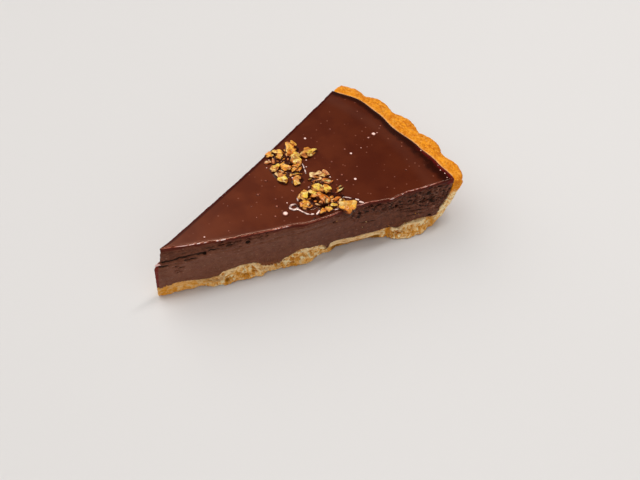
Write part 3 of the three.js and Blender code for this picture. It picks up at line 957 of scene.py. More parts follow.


# %% [markdown]
# The larger nuts have their places listed. Syrup glues chopped nuts together, so each is a clump of a
# body and, if it is large, a few lumps. Then their flat faces get a grain with painted shade in its
# dents, and each point notes how much it faces sideways or lies low between pieces, where shade is
# painted.

# %% Nut pieces
PALE, YELLOW, GOLDEN, ORANGE, OLIVE = 0.0, 0.3, 0.55, 0.8, 1.0  # tints, as places on a ramp of colours
NUT_SINK = 1.05
SHALLOW = 0.33  # a flat piece sinks in by this share of its height
LUMPY_FROM = 9.0  # a piece whose length times width is more has lumps
# x, y, length, width, height, turn, lift, tint
NUTS = [
    (67.8, 15.9, 6.4, 4.6, 3.0, -125, 0, GOLDEN),
    (70.4, 17.2, 3.4, 2.6, 3.0, -80, 0, GOLDEN),
    (73.0, 9.6, 6.6, 4.0, 3.0, 4, 0, YELLOW),
    (66.9, 10.6, 4.4, 4.2, 3.6, -80, 0.2, YELLOW),
    (65.4, 8.0, 4.6, 4.6, 3.8, -70, 0.3, YELLOW),
    (64.2, 5.8, 3.8, 3.8, 3.2, -60, 0, GOLDEN),
    (59.0, 17.6, 3.4, 3.0, 2.5, -35, 0, GOLDEN),
    (63.0, 17.3, 4.6, 2.4, 2.2, -38, 0, GOLDEN),
    (62.4, 14.8, 3.8, 2.4, 2.4, -118, 0, YELLOW),
    (58.4, 14.0, 3.6, 1.5, 1.8, -120, 0, PALE),
    (56.0, 14.7, 3.2, 1.8, 1.4, -13, 0, PALE),
    (56.9, 10.3, 4.4, 2.6, 2.2, -156, 0, YELLOW),
    (60.2, 8.1, 4.6, 3.6, 2.9, -74, 0, GOLDEN),
    (62.6, 4.9, 3.4, 2.8, 2.6, -20, 0, GOLDEN),
    (55.5, 3.6, 5.0, 3.0, 2.7, -94, 0, YELLOW),
    (54.9, 6.7, 3.6, 1.5, 1.8, -98, 0, PALE),
    (59.5, -0.3, 4.8, 2.0, 2.1, -117, 0, YELLOW),
    (67.9, -2.4, 5.4, 2.2, 2.0, -25, 0, PALE),
    (71.3, -3.5, 4.0, 1.9, 1.8, -84, 0, PALE),
    (69.3, -7.2, 4.0, 2.4, 1.6, -47, 0, OLIVE),
    (60.0, -9.8, 3.6, 3.2, 2.9, -60, 0.3, YELLOW),
    (62.9, -9.2, 4.8, 4.4, 3.8, -51, 0.4, YELLOW),
    (65.5, -10.7, 3.6, 3.2, 3.4, -35, 0.4, YELLOW),
    (60.9, -13.7, 5.8, 3.6, 3.3, -106, 0.3, ORANGE),
    (56.8, -8.5, 6.0, 3.6, 3.2, -122, 0, YELLOW),
    (54.2, -12.7, 4.4, 3.8, 2.9, -32, 0, GOLDEN),
    (65.4, -16.7, 4.2, 1.8, 1.8, -12, 0, ORANGE),
    (63.5, -18.8, 4.8, 1.8, 2.0, -26, 0, YELLOW),
    (67.1, -22.0, 7.0, 5.0, 3.6, -36, 0, GOLDEN),
    (57.5, -18.7, 4.0, 2.2, 2.4, 32, 0, GOLDEN),
    (60.3, -19.2, 3.2, 2.4, 2.4, -80, 0, YELLOW),
    (69.6, -14.0, 4.6, 1.0, 1.5, -2, 0, OLIVE), (70.6, -12.6, 3.6, 0.9, 1.5, 8, 0, OLIVE),
    (61.9, 2.6, 4.4, 1.2, 1.5, -30, 0, YELLOW),
    (66.2, -4.6, 4.6, 1.2, 1.4, -28, 0, PALE),
    (58.5, -14.9, 3.0, 1.2, 1.4, -50, 0, PALE),
]


def clump(place, size, turn, tint, rng):
    """The rows of one piece: its body and, if it is large, lumps against both ends and one side."""
    rows = [(place, [0.86 * side for side in size], turn, tint)]
    if size[0] * size[1] < LUMPY_FROM:
        return rows
    way = Vector((math.cos(math.radians(turn)), math.sin(math.radians(turn)), 0))
    for reach, aside in ((-0.28, 0.1), (0.28, -0.12), (0.05, rng.choice([-0.3, 0.3]))):
        shift = way * (reach * size[0]) + Vector((-way.y, way.x, 0)) * (aside * size[1])
        shift.z = rng.uniform(-0.16, 0.02) * size[2]
        share = rng.uniform(0.5, 0.64)
        lump = (share * size[0], share * size[0] * rng.uniform(0.7, 1), 0.7 * size[2])
        shade = min(max(tint + rng.uniform(-0.15, 0.15), PALE), ORANGE)
        rows.append((place + shift * MM, lump, rng.uniform(0, 360), shade))
    return rows


def note_sides(piece):
    """Notes where a piece faces sideways or lies low between its neighbours, for painted shade."""
    side_and_gap_shade = []
    for vertex in piece.data.vertices:
        spot = from_centre(vertex.co)
        low = fall(0.1, 1.2, spot.z - glaze_top(radius_of(spot)))
        side_and_gap_shade.append(max(fall(0.3, 0.85, vertex.normal.z), low))
    leave_note(piece, "side_and_gap_shade", side_and_gap_shade)


clump_random = random.Random(11)
nut_rows = []
for x, y, length, width, height, turn, lift, tint in NUTS:
    place = on_glaze(x, y, height, min(NUT_SINK, SHALLOW * height) - lift)
    nut_rows += clump(place, (length, width, height), turn, tint, clump_random)
nuts = make_chopped("nuts", FINE_BALL, nut_rows, 7)
roughen(nuts, 1.5, 0.17, 0.08)
note_sides(nuts)
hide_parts("glaze_with_nuts")

# %% [markdown]
# Between the pieces lie the bits that chopping always makes. They follow a few patches along the strip,
# so each bit is drawn about one of their middles, and the smallest are the most common.

# %% Nut bits
# Patches of bits: x, y, and how far it reaches along both
BIT_PATCHES = [(62.5, 12, 6.5, 5.5), (58, 6, 4.5, 5), (67, -4, 5, 3), (61, -12, 6, 5.5), (66, -17, 5, 4)]
BIT_COUNT = 170


def bit_rows():
    """Rows of random bits, drawn about the patches in turn."""
    rng = random.Random(23)
    rows = []
    for index in range(BIT_COUNT):
        x, y, spread_x, spread_y = BIT_PATCHES[index % len(BIT_PATCHES)]
        x += spread_x * rng.triangular(-1, 1, 0)
        y += spread_y * rng.triangular(-1, 1, 0)
        size = 0.5 + 1.5 * rng.random() ** 2
        shape = (size, size * rng.uniform(0.35, 0.8), size * rng.uniform(0.35, 0.6))
        tint = rng.choice([PALE, PALE, YELLOW, GOLDEN, ORANGE, OLIVE])
        rows.append((on_glaze(x, y, shape[2], 0.05), shape, rng.uniform(0, 360), tint))
    return rows


bits = make_chopped("nut_bits", COARSE_BALL, bit_rows(), 29)
note_sides(bits)

# %% [markdown]
# ## Bubbles and syrup
# Air rose through the warm glaze and stayed as small domes, and the nuts brought a little syrup with them
# that ran round them and set in threads. Both are glossy, and both show mostly by the light on their
# rounded edges, so the crowns of the bubbles and the tops of the threads get a painted highlight. A
# bubble is a flattened ball, half sunk. The syrup is many overlapping balls, joined by remaking them as
# one skin.

# %% Bubbles
# x, y and width in millimetres, and how strong the painted highlight on its crown is
BUBBLES = [
    (102.1, 2.8, 2.4, 1), (103.8, 2.5, 1.1, 0.5), (98.9, 2.4, 1.3, 0.5), (86.9, -0.5, 1.5, 1),
    (78.9, -12.6, 1.7, 1), (86.5, 3, 1.2, 0.16), (75.7, -11.2, 1.2, 0.16), (107.6, 4.7, 1, 0.22),
    (77.2, 17.6, 1.6, 0.9), (45.8, -11.2, 2.8, 1), (45.4, -6.3, 1.3, 0.22), (49.6, -7.1, 1, 0.65),
    (42, -10.1, 1.1, 0.22), (43.1, 2.7, 1.5, 0.12), (55, -2.9, 1.1, 0.22), (15.3, -4, 1.1, 0.65),
    (24, -6.4, 0.9, 0.16), (76.2, -7.6, 1.3, 0.16), (92.4, -0.4, 0.9, 0.5), (94.8, -1.5, 0.8, 0.16),
    (89.3, 16, 1.2, 0.12), (98.7, -20.8, 1.1, 0.12), (92.3, -21, 0.9, 0.12),
    (106.4, -9.9, 0.9, 0.16), (110.9, -16.6, 0.8, 0.9), (109.2, -29.5, 0.8, 0.9),
    (105.8, 17.6, 1.1, 0.12), (77.6, 0.5, 1.2, 0.12), (47.3, -3, 1.2, 0.12), (49.9, 7.1, 1.4, 0.12),
    (36, -6.6, 0.8, 0.22), (69.5, 12.6, 1.2, 0.9), (54, 4.7, 1.1, 0.9), (37.5, -1, 0.8, 0.12),
    (30.5, 4.2, 0.8, 0.12), (109.4, -31.8, 0.8, 0.8), (108.4, -34.0, 0.7, 0.7),
    (110.4, -27.0, 0.6, 0.6), (64.3, 13.0, 0.8, 0.6), (63.2, 10.8, 1.2, 0.9), (59.3, 2.4, 1.2, 0.8),
    (71.6, -5.8, 1, 1), (61.4, -5.3, 1.1, 0.6), (69.8, 7.2, 1.1, 0.7), (67.5, 4.2, 0.9, 0.9),
    (55.2, -3.4, 0.9, 0.3), (54.3, 12.8, 0.9, 0.6), (57.6, 15.9, 1, 0.6), (61.3, 16.0, 0.8, 0.4),
    (73.0, -8.6, 0.8, 0.5),
]
BUBBLE_FLATNESS = 0.3
CROWN_FROM, CROWN_TO = 0.3, 0.8  # the painted highlight on a bubble's crown fades between these shares of its radius


def make_bubbles():
    form = bmesh.new()
    crowns = []
    for x, y, width, shine in BUBBLES:
        verts = add_ball(form, FINE_BALL)
        for vert in verts:
            crowns.append(shine * fall(CROWN_FROM, CROWN_TO, math.hypot(vert.co.x, vert.co.y)))
        size = (width / 2, width / 2, BUBBLE_FLATNESS * width / 2)
        put(form, verts, size, 0, on_glaze(x, y, 0, 0))
    piece = new_piece("bubbles", form)
    leave_note(piece, "crown", crowns)
    return piece


bubbles = make_bubbles()
print("bubbles", len(BUBBLES))

# %% Syrup
SYRUP_GRAIN = 0.22
FILM_THICKNESS = 0.9
FILM_SINK = 0.1
THREAD_STEP = 0.3
# x, y, length, width and turn of each pool
SYRUP_POOLS = [
    (62.5, 12.5, 13, 10, 60), (57.5, 7, 8, 8, 0), (63, 5, 8, 6, 0), (60, 0, 6, 4, 0),
    (67.5, -4, 8, 5, -30), (62, -10.5, 11, 8, -50), (56.5, -12, 7, 8, 0), (66, -16, 9, 7, -40),
    (60, -18, 7, 4, -30), (70.5, -20.5, 5, 2.6, -20), (69, 14.5, 6, 4, 20),
]
# Threads run through points of x, y and thickness
SYRUP_THREADS = [
    [(49.1, -9.4, 1.0), (48.7, -10.2, 1.0), (49.5, -11.6, 1.1), (50.9, -11.9, 1.1), (51.9, -10.7, 1.1),
     (51.6, -9.6, 1.0), (50.4, -9.0, 1.0), (49.1, -9.4, 1.0)],
    [(50.9, -11.9, 0.9), (51.5, -13.8, 0.8), (52.3, -16.0, 0.9), (52.9, -16.6, 0.6)],
    [(53.7, -17.2, 1.0), (54.2, -17.4, 0.9)],
    [(55.2, -18.2, 0.9), (56.0, -17.9, 1.1), (57.0, -17.4, 0.9)],
    [(53.8, -19.2, 0.6), (52.6, -19.4, 0.7)],
    [(53.6, -8.6, 0.9), (54.2, -7.6, 0.9), (55.5, -6.9, 0.6)],
    [(63.5, -13.0, 0.6), (63.4, -15.0, 0.7)], [(62.2, -20.4, 0.7), (63.9, -21.0, 0.6)],
    [(67.6, -16.9, 0.5), (69.0, -17.3, 0.7), (70.4, -18.7, 0.7), (71.4, -20.2, 0.5)],
    [(72.0, -21.0, 0.9), (72.6, -21.8, 0.8)], [(72.4, -23.0, 1.1), (73.1, -24.0, 0.9)],
    [(67.2, 6.4, 0.6), (66.6, 4.6, 0.8), (65.8, 2.8, 0.8), (65.0, 1.2, 0.6)],
]


def thread_stops(points):
    """Stops along a thread, THREAD_STEP apart."""
    for first, second in zip(points, points[1:]):
        steps = max(round(math.dist(first[:2], second[:2]) / THREAD_STEP), 1)
        for step in range(steps + 1):
            yield [blend(one, other, step / steps) for one, other in zip(first, second)]


def pools_form():
    """One flat ball for each pool."""
    form = bmesh.new()
    for x, y, length, width, turn in SYRUP_POOLS:
        size = (length / 2, width / 2, FILM_THICKNESS / 2)
        put(form, add_ball(form, FINE_BALL), size, turn, on_glaze(x, y, 0, FILM_SINK))
    return form


def threads_form():
    """Small balls along each thread, close enough to melt together."""
    form = bmesh.new()
    for points in SYRUP_THREADS:
        for x, y, thickness in thread_stops(points):
            size = [thickness / 2] * 3
            put(form, add_ball(form, COARSE_BALL), size, 0, on_glaze(x, y, 0, 0))
    return form


def make_syrup(name, form, depth):
    """One surface round many balls, slightly uneven, with a note of its dents."""
    piece = new_piece(name, form)
    remake(piece, SYRUP_GRAIN, 4)
    piece.data.shade_smooth()
    roughen(piece, 2.0, depth)
    print(name, len(piece.data.vertices), "points")
    return piece


pools = make_syrup("syrup_pools", pools_form(), 0.1)
threads = make_syrup("syrup_threads", threads_form(), 0.05)
# the tops of the threads get a painted highlight, as a pale crown
gleam = [
    rise(0.35, 0.8, vertex.normal.z) * rise(-0.5, 0.1, waves(from_centre(vertex.co), 1.6))
    for vertex in threads.data.vertices
]
leave_note(threads, "crown", gleam)

# %% [markdown]
# ## Loose crumbs
# A knife leaves a few crumbs of crust on the sticky cut. They are chopped like the nuts, only smaller.

# %% Crumbs
# Run along the near cut, height and size
CRUMBS = [
    (40.6, 3.4, 1.0), (39.2, 5.2, 0.5), (0.6, 7.0, 0.6), (24.6, 8.4, 0.6), (17.6, 17.0, 0.35),
    (21.2, 13.0, 0.35), (79.2, 14.2, 0.5), (78.0, 11.2, 0.4), (101.6, 11.4, 0.55), (103.4, 10.3, 0.45),
    (66.0, 19.6, 0.4), (90.4, 7.4, 0.4),
]
CRUMB_STANDS_OUT = 0.2


def crumb_rows():
    """Rows of crumbs that stick to the near cut."""
    rng = random.Random(41)
    rows = []
    for run, height, size in CRUMBS:
        spot = NEAR_EDGE * run + Vector((0, 0, height))
        spot += NEAR_CUT * (near_bulge(run) + CRUMB_STANDS_OUT + wander(spot))
        shape = (size, size * 0.6, size * 0.5)
        rows.append((TART_CENTRE + spot * MM, shape, rng.uniform(0, 360), rng.choice([PALE, GOLDEN])))
    return rows


crust_crumbs = make_chopped("crust_crumbs", COARSE_BALL, crumb_rows(), 43)
for name, value in (("cut", 1.0), ("shade", 0.5), ("inner", 5.0)):
    leave_note(crust_crumbs, name, [value] * len(crust_crumbs.data.vertices))

# %% [markdown]
# ## Materials
# Each finish is a procedural material on Object coordinates, which here are metres, so a noise scale of
# 1000 makes bumps one millimetre wide. Small helpers keep the node code short: one adds a node with its
# inputs set, and the others are the few steps that every material here is made of. Food is mottled, so
# most colours are laid over each other in thin layers, each where a noise or a note says.

# %% Node helpers


def join(tree, value, socket):
    """Feeds a socket from another socket, or sets it to a value or to a colour's code."""
    if isinstance(value, bpy.types.NodeSocket):
        tree.links.new(value, socket)
    else:
        socket.default_value = colour(value) if isinstance(value, str) else value


def add_node(tree, kind, inputs=None, **settings):
    node = tree.nodes.new(kind)
    for name, value in settings.items():
        setattr(node, name, value)
    for name, value in (inputs or {}).items():
        join(tree, value, node.inputs[name])
    return node


def new_material(name, settings):
    """A material, its tree and its shader, with the settings that are the same all over."""
    material = bpy.data.materials.new(name)
    material.use_nodes = True
    shader = material.node_tree.nodes["Principled BSDF"]
    for setting, value in settings.items():
        shader.inputs[setting].default_value = value
    return material, material.node_tree, shader


def colour(code):
    """A colour as it looks on a screen, for instance d8a45c, as the linear numbers that light needs."""
    parts = [int(code[start:start + 2], 16) / 255 for start in (0, 2, 4)]
    return (*(part / 12.92 if part <= 0.04045 else ((part + 0.055) / 1.055) ** 2.4 for part in parts), 1)


def object_place(tree):
    return add_node(tree, "ShaderNodeTexCoord").outputs["Object"]


def note(tree, name):
    """A value that was left on the points of the mesh."""
    return add_node(tree, "ShaderNodeAttribute", attribute_name=name).outputs["Fac"]


def noise_at(tree, place, scale, detail, roughness=0.55):
    inputs = {"Vector": place, "Scale": scale, "Detail": detail, "Roughness": roughness}
    return add_node(tree, "ShaderNodeTexNoise", inputs).outputs["Fac"]


def spread(tree, value, low, high, to_low=0.0, to_high=1.0):
    """Stretches the part of a value between low and high over another range."""
    inputs = {"Value": value, "From Min": low, "From Max": high, "To Min": to_low, "To Max": to_high}
    node = add_node(tree, "ShaderNodeMapRange", inputs, interpolation_type="SMOOTHSTEP")
    return node.outputs["Result"]


def layers(tree, base, *rows):
    """Lays colours over a base, each with its share. A colour is a socket or a code."""
    for share, tint in rows:
        node = add_node(tree, "ShaderNodeMix", data_type="RGBA")
        for index, value in ((0, share), (6, base), (7, tint)):
            join(tree, value, node.inputs[index])
        base = node.outputs[2]
    return base


def combine(tree, operation, first, second):
    """Two values through a maths operation."""
    node = add_node(tree, "ShaderNodeMath", operation=operation)
    join(tree, first, node.inputs[0])
    join(tree, second, node.inputs[1])
    return node.outputs[0]


def times(tree, first, second):
    return combine(tree, "MULTIPLY", first, second)


def flecks(tree, place, scale):
    """How far each spot is from the nearest of some scattered points."""
    return add_node(tree, "ShaderNodeTexVoronoi", {"Vector": place, "Scale": scale}).outputs["Distance"]


def bump(tree, height, distance):
    """A normal that shows a height, with its distance in millimetres."""
    node = add_node(tree, "ShaderNodeBump", {"Height": height, "Distance": distance * MM})
    return node.outputs["Normal"]


def new_group(name, takes, gives):
    """An empty node group with named sockets, and the sockets of its two ends."""
    group = bpy.data.node_groups.new(name, "ShaderNodeTree")
    for way, sockets in (("INPUT", takes), ("OUTPUT", gives)):
        for socket, kind in sockets.items():
            group.interface.new_socket(socket, in_out=way, socket_type=f"NodeSocket{kind}")
    return group, group.nodes.new("NodeGroupInput").outputs, group.nodes.new("NodeGroupOutput").inputs


def dress(material, *pieces):
    for piece in pieces:
        piece.data.materials.clear()
        piece.data.materials.append(material)


print("golden orange in linear light:", [round(part, 2) for part in colour("d2740c")])

# %% [markdown]
# A fine grain is needed on the crust, the crumbs and the nuts, so it is one shader node group with its
# scale as an input. It gives a mottling for the colour, a tone that differs from crumb to crumb, and a
# height for the bump.

# %% Grain group
BROAD_SCALE = 0.23  # the scale of the broad mottling, as a share of the grain's
SHAKE = 0.8 * MM  # how far noise shifts the cells, so that no crumb is a plain polygon


def make_grain_group():
    group, entry, result = new_group(
        "fine_grain", {"Place": "Vector", "Scale": "Float"},
        {"Mottle": "Float", "Crumb": "Float", "Height": "Float"},
    )
    place, scale = entry["Place"], entry["Scale"]
    fine = noise_at(group, place, scale, detail=4, roughness=0.65)
    broad = noise_at(group, place, times(group, scale, BROAD_SCALE), detail=3)
    blurred = add_node(group, "ShaderNodeTexNoise", {"Vector": place, "Scale": scale}).outputs["Color"]
    shaken = add_node(group, "ShaderNodeVectorMath", operation="MULTIPLY_ADD")
    for socket, value in zip(shaken.inputs, (blurred, (SHAKE, SHAKE, SHAKE), place)):
        join(group, value, socket)
    cells = add_node(group, "ShaderNodeTexVoronoi", {"Vector": shaken.outputs["Vector"], "Scale": scale})
    tone = add_node(group, "ShaderNodeSeparateColor", {"Color": cells.outputs["Color"]}).outputs["Red"]
    join(group, spread(group, combine(group, "ADD", fine, broad), 0.7, 1.3), result["Mottle"])
    join(group, tone, result["Crumb"])
    join(group, combine(group, "SUBTRACT", fine, cells.outputs["Distance"]), result["Height"])
    return group


GRAIN = make_grain_group()


def grain(tree, scale):
    """The grain group in a material: its mottling, its crumbs and its height."""
    inputs = {"Place": object_place(tree), "Scale": scale}
    node = add_node(tree, "ShaderNodeGroup", inputs, node_tree=GRAIN)
    return node.outputs["Mottle"], node.outputs["Crumb"], node.outputs["Height"]


print("grain group sockets:", len(GRAIN.interface.items_tree))

# %% [markdown]
# The crust is golden orange where the oven browned it, and pale where it was cut. Its hollows and holes
# get a painted shade, honey golden where shallow and dark brown where deep, and the line along the glaze
# and the top of the cut get a painted highlight.

# %% Crust material
WARM = (1.0, 0.72, 0.5, 1)  # the tint that brown food gives to what it mirrors


def crust_material():
    material, tree, shader = new_material("baked_shortcrust", {
        "Roughness": 0.7, "Specular IOR Level": 0.15, "Specular Tint": WARM,
    })
    mottle, crumb, height = grain(tree, 1150)
    shade = note(tree, "shade")
    brown = layers(
        tree, "d2740c", (mottle, "f8a024"),
        (spread(tree, crumb, 0.7, 0.95, 0, 0.5), "fcb44c"),  # light crumbs
        (spread(tree, crumb, 0.05, 0.3, 0.45, 0), "b8580e"),  # dark crumbs
        (times(tree, shade, 0.5), "b4600e"),  # painted shade in pits and hollows
        (spread(tree, note(tree, "inner"), 0.8, 1.8, 0.55, 0), "fbc48c"),  # painted highlight along the edge by the glaze
        (times(tree, note(tree, "outer"), 0.55), "9c6a20"),  # darker where the surface faces outwards
    )
    pale = layers(
        tree, "f6b45c", (mottle, "ffd896"),
        (spread(tree, crumb, 0.58, 0.85, 0, 0.9), "fff0c0"),
        (spread(tree, crumb, 0.1, 0.42, 0.8, 0), "cc8424"),
        # painted highlight along the top of the cut, and the creamy stretch
        (times(tree, note(tree, "cream_and_lit_top"), 0.8), "ffe0ac"),
        (spread(tree, shade, 0.0, 0.9, 0, 0.85), "d88e22"),  # golden tint of the tip and foot, and painted honey-golden shade in hollows
        (spread(tree, shade, 0.9, 1.4, 0, 0.85), "7a4c0a"),  # painted dark shade in holes and under the creamy foot
    )
    join(tree, layers(tree, brown, (note(tree, "cut"), pale)), shader.inputs["Base Color"])
    join(tree, bump(tree, height, 0.3), shader.inputs["Normal"])
    return material


dress(crust_material(), crust, crust_crumbs)
print("crust and crumbs share one material")

# %% [markdown]
# Smooth ganache is a warm milk-chocolate brown. Torn ganache scatters less light, so it is darker and
# duller. Its pits, gashes and creases get a painted shade, the darkest colour, and its ridges a painted
# highlight. The glaze's cut side is the same stuff, so the three steps of colour are one node group that
# both materials use.

# %% Ganache material
DRAG_SCALE = (0.55, 1.0, 1.0)  # less than 1 along the near cut draws the holes out


def make_chocolate_group():
    group, entry, result = new_group(
        "cut_chocolate", {"Place": "Vector", "Torn": "Float", "Hollow": "Float", "Ridge": "Float"},
        {"Colour": "Color", "Height": "Float"},
    )
    place, ragged = entry["Place"], entry["Torn"]
    cloud = spread(group, noise_at(group, place, 220, detail=4), 0.35, 0.65)
    stain = spread(group, noise_at(group, place, 700, detail=5, roughness=0.7), 0.35, 0.65)
    smooth = layers(group, "60301f", (cloud, "6c3b2b"), (times(group, stain, 0.45), "80533e"))
    torn = layers(group, "401a10", (stain, "683524"))
    inputs = {"Vector": place, "Rotation": (0, 0, HALF_ANGLE), "Scale": DRAG_SCALE}
    dragged = add_node(group, "ShaderNodeMapping", inputs).outputs["Vector"]
    holes = spread(group, noise_at(group, dragged, 850, detail=2), 0.57, 0.62)
    holes = times(group, holes, spread(group, ragged, 0.55, 0.95))
    frayed = combine(group, "ADD", entry["Hollow"], times(group, stain, 0.5))
    hollow = spread(group, frayed, 0.6, 0.87)
    base = layers(
        group, smooth, (ragged, torn),
        # painted highlight on the ridges of torn chocolate
        (times(group, entry["Ridge"], 0.6), "93624f"),
        (spread(group, flecks(group, place, 420), 0.06, 0.2, 0.4, 0), "a67c68"),
        # painted shade in holes, pits, gashes and creases
        (combine(group, "MAXIMUM", holes, hollow), "1e0805"),
    )
    join(group, base, result["Colour"])
    fine = noise_at(group, place, 1600, detail=3)
    join(group, combine(group, "SUBTRACT", fine, holes), result["Height"])
    return group


CHOCOLATE = make_chocolate_group()


def cut_chocolate(tree):
    """The colour of cut chocolate, with its painted shade and highlight, and its fine relief."""
    inputs = {name: note(tree, name.lower()) for name in ("Torn", "Hollow", "Ridge")}
    inputs["Place"] = object_place(tree)
    node = add_node(tree, "ShaderNodeGroup", inputs, node_tree=CHOCOLATE)
    return node.outputs["Colour"], node.outputs["Height"]


def ganache_material():
    material, tree, shader = new_material("cut_ganache", {
        "Specular IOR Level": 0.25, "Specular Tint": WARM,
    })
    chocolate, height = cut_chocolate(tree)
    foot = note(tree, "foot")
    base = layers(
        tree, chocolate,
        (times(tree, note(tree, "thin"), 0.6), "9a5420"),  # where it is smeared thinly on the crust
        (spread(tree, foot, 0, 0.7), "6e1a14"),  # the bare face of the tip
        (spread(tree, foot, 0.8, 1.5), "f0c4bc"),  # painted highlight on the ledge above it
    )
    join(tree, base, shader.inputs["Base Color"])
    join(tree, spread(tree, note(tree, "torn"), 0, 1, 0.4, 0.55), shader.inputs["Roughness"])
    join(tree, bump(tree, height, 0.2), shader.inputs["Normal"])
    return material


dress(ganache_material(), ganache)
print("chocolate group sockets:", len(CHOCOLATE.interface.items_tree))

# %% [markdown]
# The glaze is a deep red brown under a clear gloss. It gets a painted shade towards the crust and a
# painted highlight along its rolled near edge, and tiny bubbles under the surface show as faint lighter
# specks.

# %% Glaze material
GLAZE_TINT = (1.0, 0.62, 0.45, 1)  # the tint that the glaze gives to what it mirrors


def glaze_material():
    material, tree, shader = new_material("chocolate_glaze", {"Specular Tint": GLAZE_TINT})
    place = object_place(tree)
    edge, rim, gleam = note(tree, "edge"), note(tree, "rim"), note(tree, "gleam")
    top = layers(
        tree, "57210f", (spread(tree, noise_at(tree, place, 90, detail=2), 0.35, 0.65), "642a14"),
        (spread(tree, rim, 5, 75, 0.45, 0), "3c1006"),  # painted shade, darker towards the crust
        (spread(tree, flecks(tree, place, 330), 0.05, 0.15, 0.4, 0), "a86a54"),  # bubbles below
        (spread(tree, rim, 1.8, 4.4, 0.9, 0), "260a05"),  # the dark line along the crust
        (spread(tree, edge, -1, 0, 0.7, 0), "4c120c"),  # the rolled edge
        (note(tree, "jelly"), "5e1210"),
        # painted highlight along the rolled near edge
        (spread(tree, gleam, 0.0, 0.4), "a85a48"),
        (spread(tree, gleam, 0.4, 0.9), "fff0ea"),
    )
    side, height = cut_chocolate(tree)
    cut = note(tree, "cut")
    join(tree, layers(tree, top, (cut, side)), shader.inputs["Base Color"])
    join(tree, spread(tree, edge, -1, 0, 0.12, 0.48), shader.inputs["Specular IOR Level"])
    join(tree, spread(tree, cut, 0, 1, 0.12, 0.5), shader.inputs["Roughness"])
    join(tree, bump(tree, times(tree, height, cut), 0.2), shader.inputs["Normal"])
    return material


def syrup_material():
    """Dark clear syrup, with a painted highlight where a thread bulges upwards."""
    material, tree, shader = new_material("set_syrup", {"Roughness": 0.05, "Specular Tint": GLAZE_TINT})
    cloud = spread(tree, noise_at(tree, object_place(tree), 400, detail=2), 0.35, 0.65)
    base = layers(tree, "220a06", (cloud, "46180c"), (note(tree, "crown"), "ffddd2"))
    join(tree, base, shader.inputs["Base Color"])
    return material


def bubble_material():
    """The glaze's brown, with a painted highlight on the crown of each bubble."""
    material, tree, shader = new_material("glaze_bubble", {
        "Roughness": 0.2, "Specular IOR Level": 0.2, "Specular Tint": GLAZE_TINT,
    })
    crown = note(tree, "crown")
    dull, bright = spread(tree, crown, 0, 0.2), spread(tree, crown, 0.2, 0.9)
    join(tree, layers(tree, "4e1c0e", (dull, "a4604c"), (bright, "ffdfd4")), shader.inputs["Base Color"])
    return material


dress(glaze_material(), glaze)
dress(syrup_material(), pools, threads)
dress(bubble_material(), bubbles)
print("syrup and threads share one material too")

# %% [markdown]
# Caramelised nuts run from cream through yellow to orange. Each piece carries its own tint, and each of
# its faces its own tone, so that a pale cut face meets a browner one at a crisp edge.

# %% Nut material


def nut_material():
    material, tree, shader = new_material("caramelised_nut", {
        "Roughness": 0.4, "Specular IOR Level": 0.3, "Specular Tint": WARM,
        "Coat Weight": 0.4, "Coat Roughness": 0.12,
    })
    mottle, crumb, height = grain(tree, 700)
    ramp = add_node(tree, "ShaderNodeValToRGB", {"Fac": note(tree, "tint")})
    stops = ramp.color_ramp.elements
    stops[0].color, stops[1].color = colour("f2cc92"), colour("84701e")
    for tint, code in ((YELLOW, "ffd448"), (GOLDEN, "ffb434"), (ORANGE, "f07e18")):
        stops.new(tint).color = colour(code)
    side_and_gap_shade = note(tree, "side_and_gap_shade")
    base = layers(
        tree, ramp.outputs["Color"], (times(tree, mottle, 0.3), "ffe27c"),
        (spread(tree, crumb, 0.7, 0.9, 0, 0.6), "ffeea4"),  # light grains
        (spread(tree, crumb, 0.15, 0.3, 0.5, 0), "b45a0c"),  # dark grains
        (spread(tree, note(tree, "tone"), 0.2, 0.5, 0.7, 0), "d8680a"),  # the browner faces
        # painted shade in the dents of the grain
        (times(tree, note(tree, "dent"), 0.85), "8e3a04"),
        (spread(tree, side_and_gap_shade, 0.15, 0.7, 0, 0.85), "bc5a12"),  # painted shade on faces that turn sideways
        (spread(tree, side_and_gap_shade, 0.6, 0.95), "421606"),  # darkest painted shade, low between the pieces
    )
    join(tree, base, shader.inputs["Base Color"])
    join(tree, bump(tree, height, 0.5), shader.inputs["Normal"])
    return material


dress(nut_material(), nuts, bits)
print("materials:", len(bpy.data.materials))

# %% [markdown]
# ## Floor and light
# The slice stands on a plain pale floor. The sky is a soft white, and darkens on the one side that the
# rim half of the glaze mirrors, so that the glaze is deep there and milky towards the tip. A long narrow
# lamp overhead puts the bright lines on edges, bubbles and syrup.

# %% Floor
FLOOR_SIZE = 4.0
FLOOR_COLOUR = (0.7, 0.68, 0.665, 1)


def make_floor():
    form = bmesh.new()
    bmesh.ops.create_grid(form, x_segments=1, y_segments=1, size=FLOOR_SIZE / 2)
    mesh = bpy.data.meshes.new("floor")
    form.to_mesh(mesh)
    form.free()
    floor = bpy.data.objects.new("floor", mesh)
    scene.collection.objects.link(floor)
    material, _, _ = new_material("pale_floor", {
        "Roughness": 0.6, "Specular IOR Level": 0.3, "Base Color": FLOOR_COLOUR,
    })
    dress(material, floor)


make_floor()
print("the floor is", FLOOR_SIZE, "m wide")

# %% Lights


def direction(azimuth, elevation):
    """A unit vector. Azimuth is counted from +X towards +Y, and elevation from the floor."""
    turn, tilt = math.radians(azimuth), math.radians(elevation)
    return Vector((math.cos(turn) * math.cos(tilt), math.sin(turn) * math.cos(tilt), math.sin(tilt)))


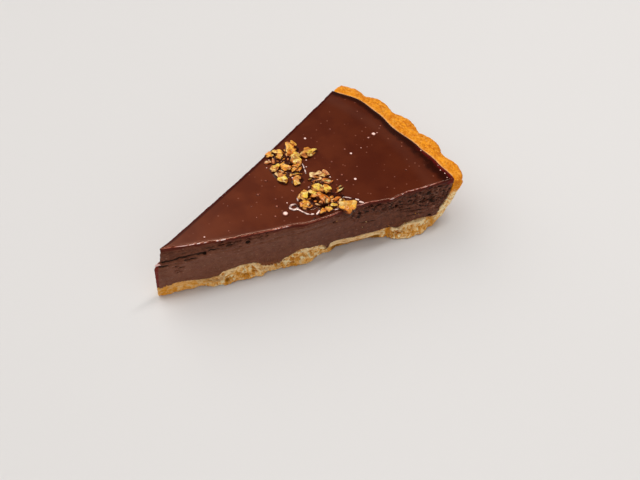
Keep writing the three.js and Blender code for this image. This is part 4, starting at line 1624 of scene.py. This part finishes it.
def hang_lamp(name, place, length, width, power):
    """A flat lamp that shines straight down, its length along X."""
    data = bpy.data.lights.new(name, "AREA")
    data.shape = "RECTANGLE"
    data.size, data.size_y = length, width
    data.energy = power
    light = bpy.data.objects.new(name, data)
    light.location = place
    scene.collection.objects.link(light)


LAMP_PLACE = direction(0, 71) * 1.05
hang_lamp("overhead", LAMP_PLACE, 0.62, 0.06, 4.0)
print("the lamp hangs", round(LAMP_PLACE.z, 2), "m high")

# %% [markdown]
# The sky is made of soft round patches about a few directions. A patch is full within some degrees of
# its middle and gone further out, and the dark one takes light away instead of adding it.

# %% Sky
WINDOW = direction(108, 48)
DARK_SIDE = direction(43, 36)
FRONT = direction(-105, 16)
SKY, WINDOW_GLOW, FRONT_GLOW, DARKNESS = 0.25, 1.7, 0.65, 0.85
SKY_COLOUR = (1.0, 0.985, 0.97, 1)


def lobe(tree, way, middle, inner, outer):
    """1 within inner degrees of a direction, falling to 0 at outer degrees."""
    facing = add_node(tree, "ShaderNodeVectorMath", operation="DOT_PRODUCT")
    join(tree, way, facing.inputs[0])
    facing.inputs[1].default_value = middle
    gone, full = math.cos(math.radians(outer)), math.cos(math.radians(inner))
    return spread(tree, facing.outputs["Value"], gone, full)


def make_sky():
    world = bpy.data.worlds.new("studio")
    scene.world = world
    world.use_nodes = True
    tree = world.node_tree
    background = tree.nodes["Background"]
    background.inputs["Color"].default_value = SKY_COLOUR
    way = add_node(tree, "ShaderNodeTexCoord").outputs["Generated"]
    window = times(tree, lobe(tree, way, WINDOW, 14, 52), WINDOW_GLOW)
    front = times(tree, lobe(tree, way, FRONT, 20, 65), FRONT_GLOW)
    lit = combine(tree, "ADD", combine(tree, "ADD", window, SKY), front)
    shade = times(tree, lobe(tree, way, DARK_SIDE, 9, 26), DARKNESS)
    lit = times(tree, lit, combine(tree, "SUBTRACT", 1.0, shade))
    join(tree, lit, background.inputs["Strength"])


make_sky()

# %% [markdown]
# ## Tidying up
# The balls that were only copied from are removed.

# %% Remove the copied balls
for ball in (COARSE_BALL, FINE_BALL):
    bpy.data.meshes.remove(ball)
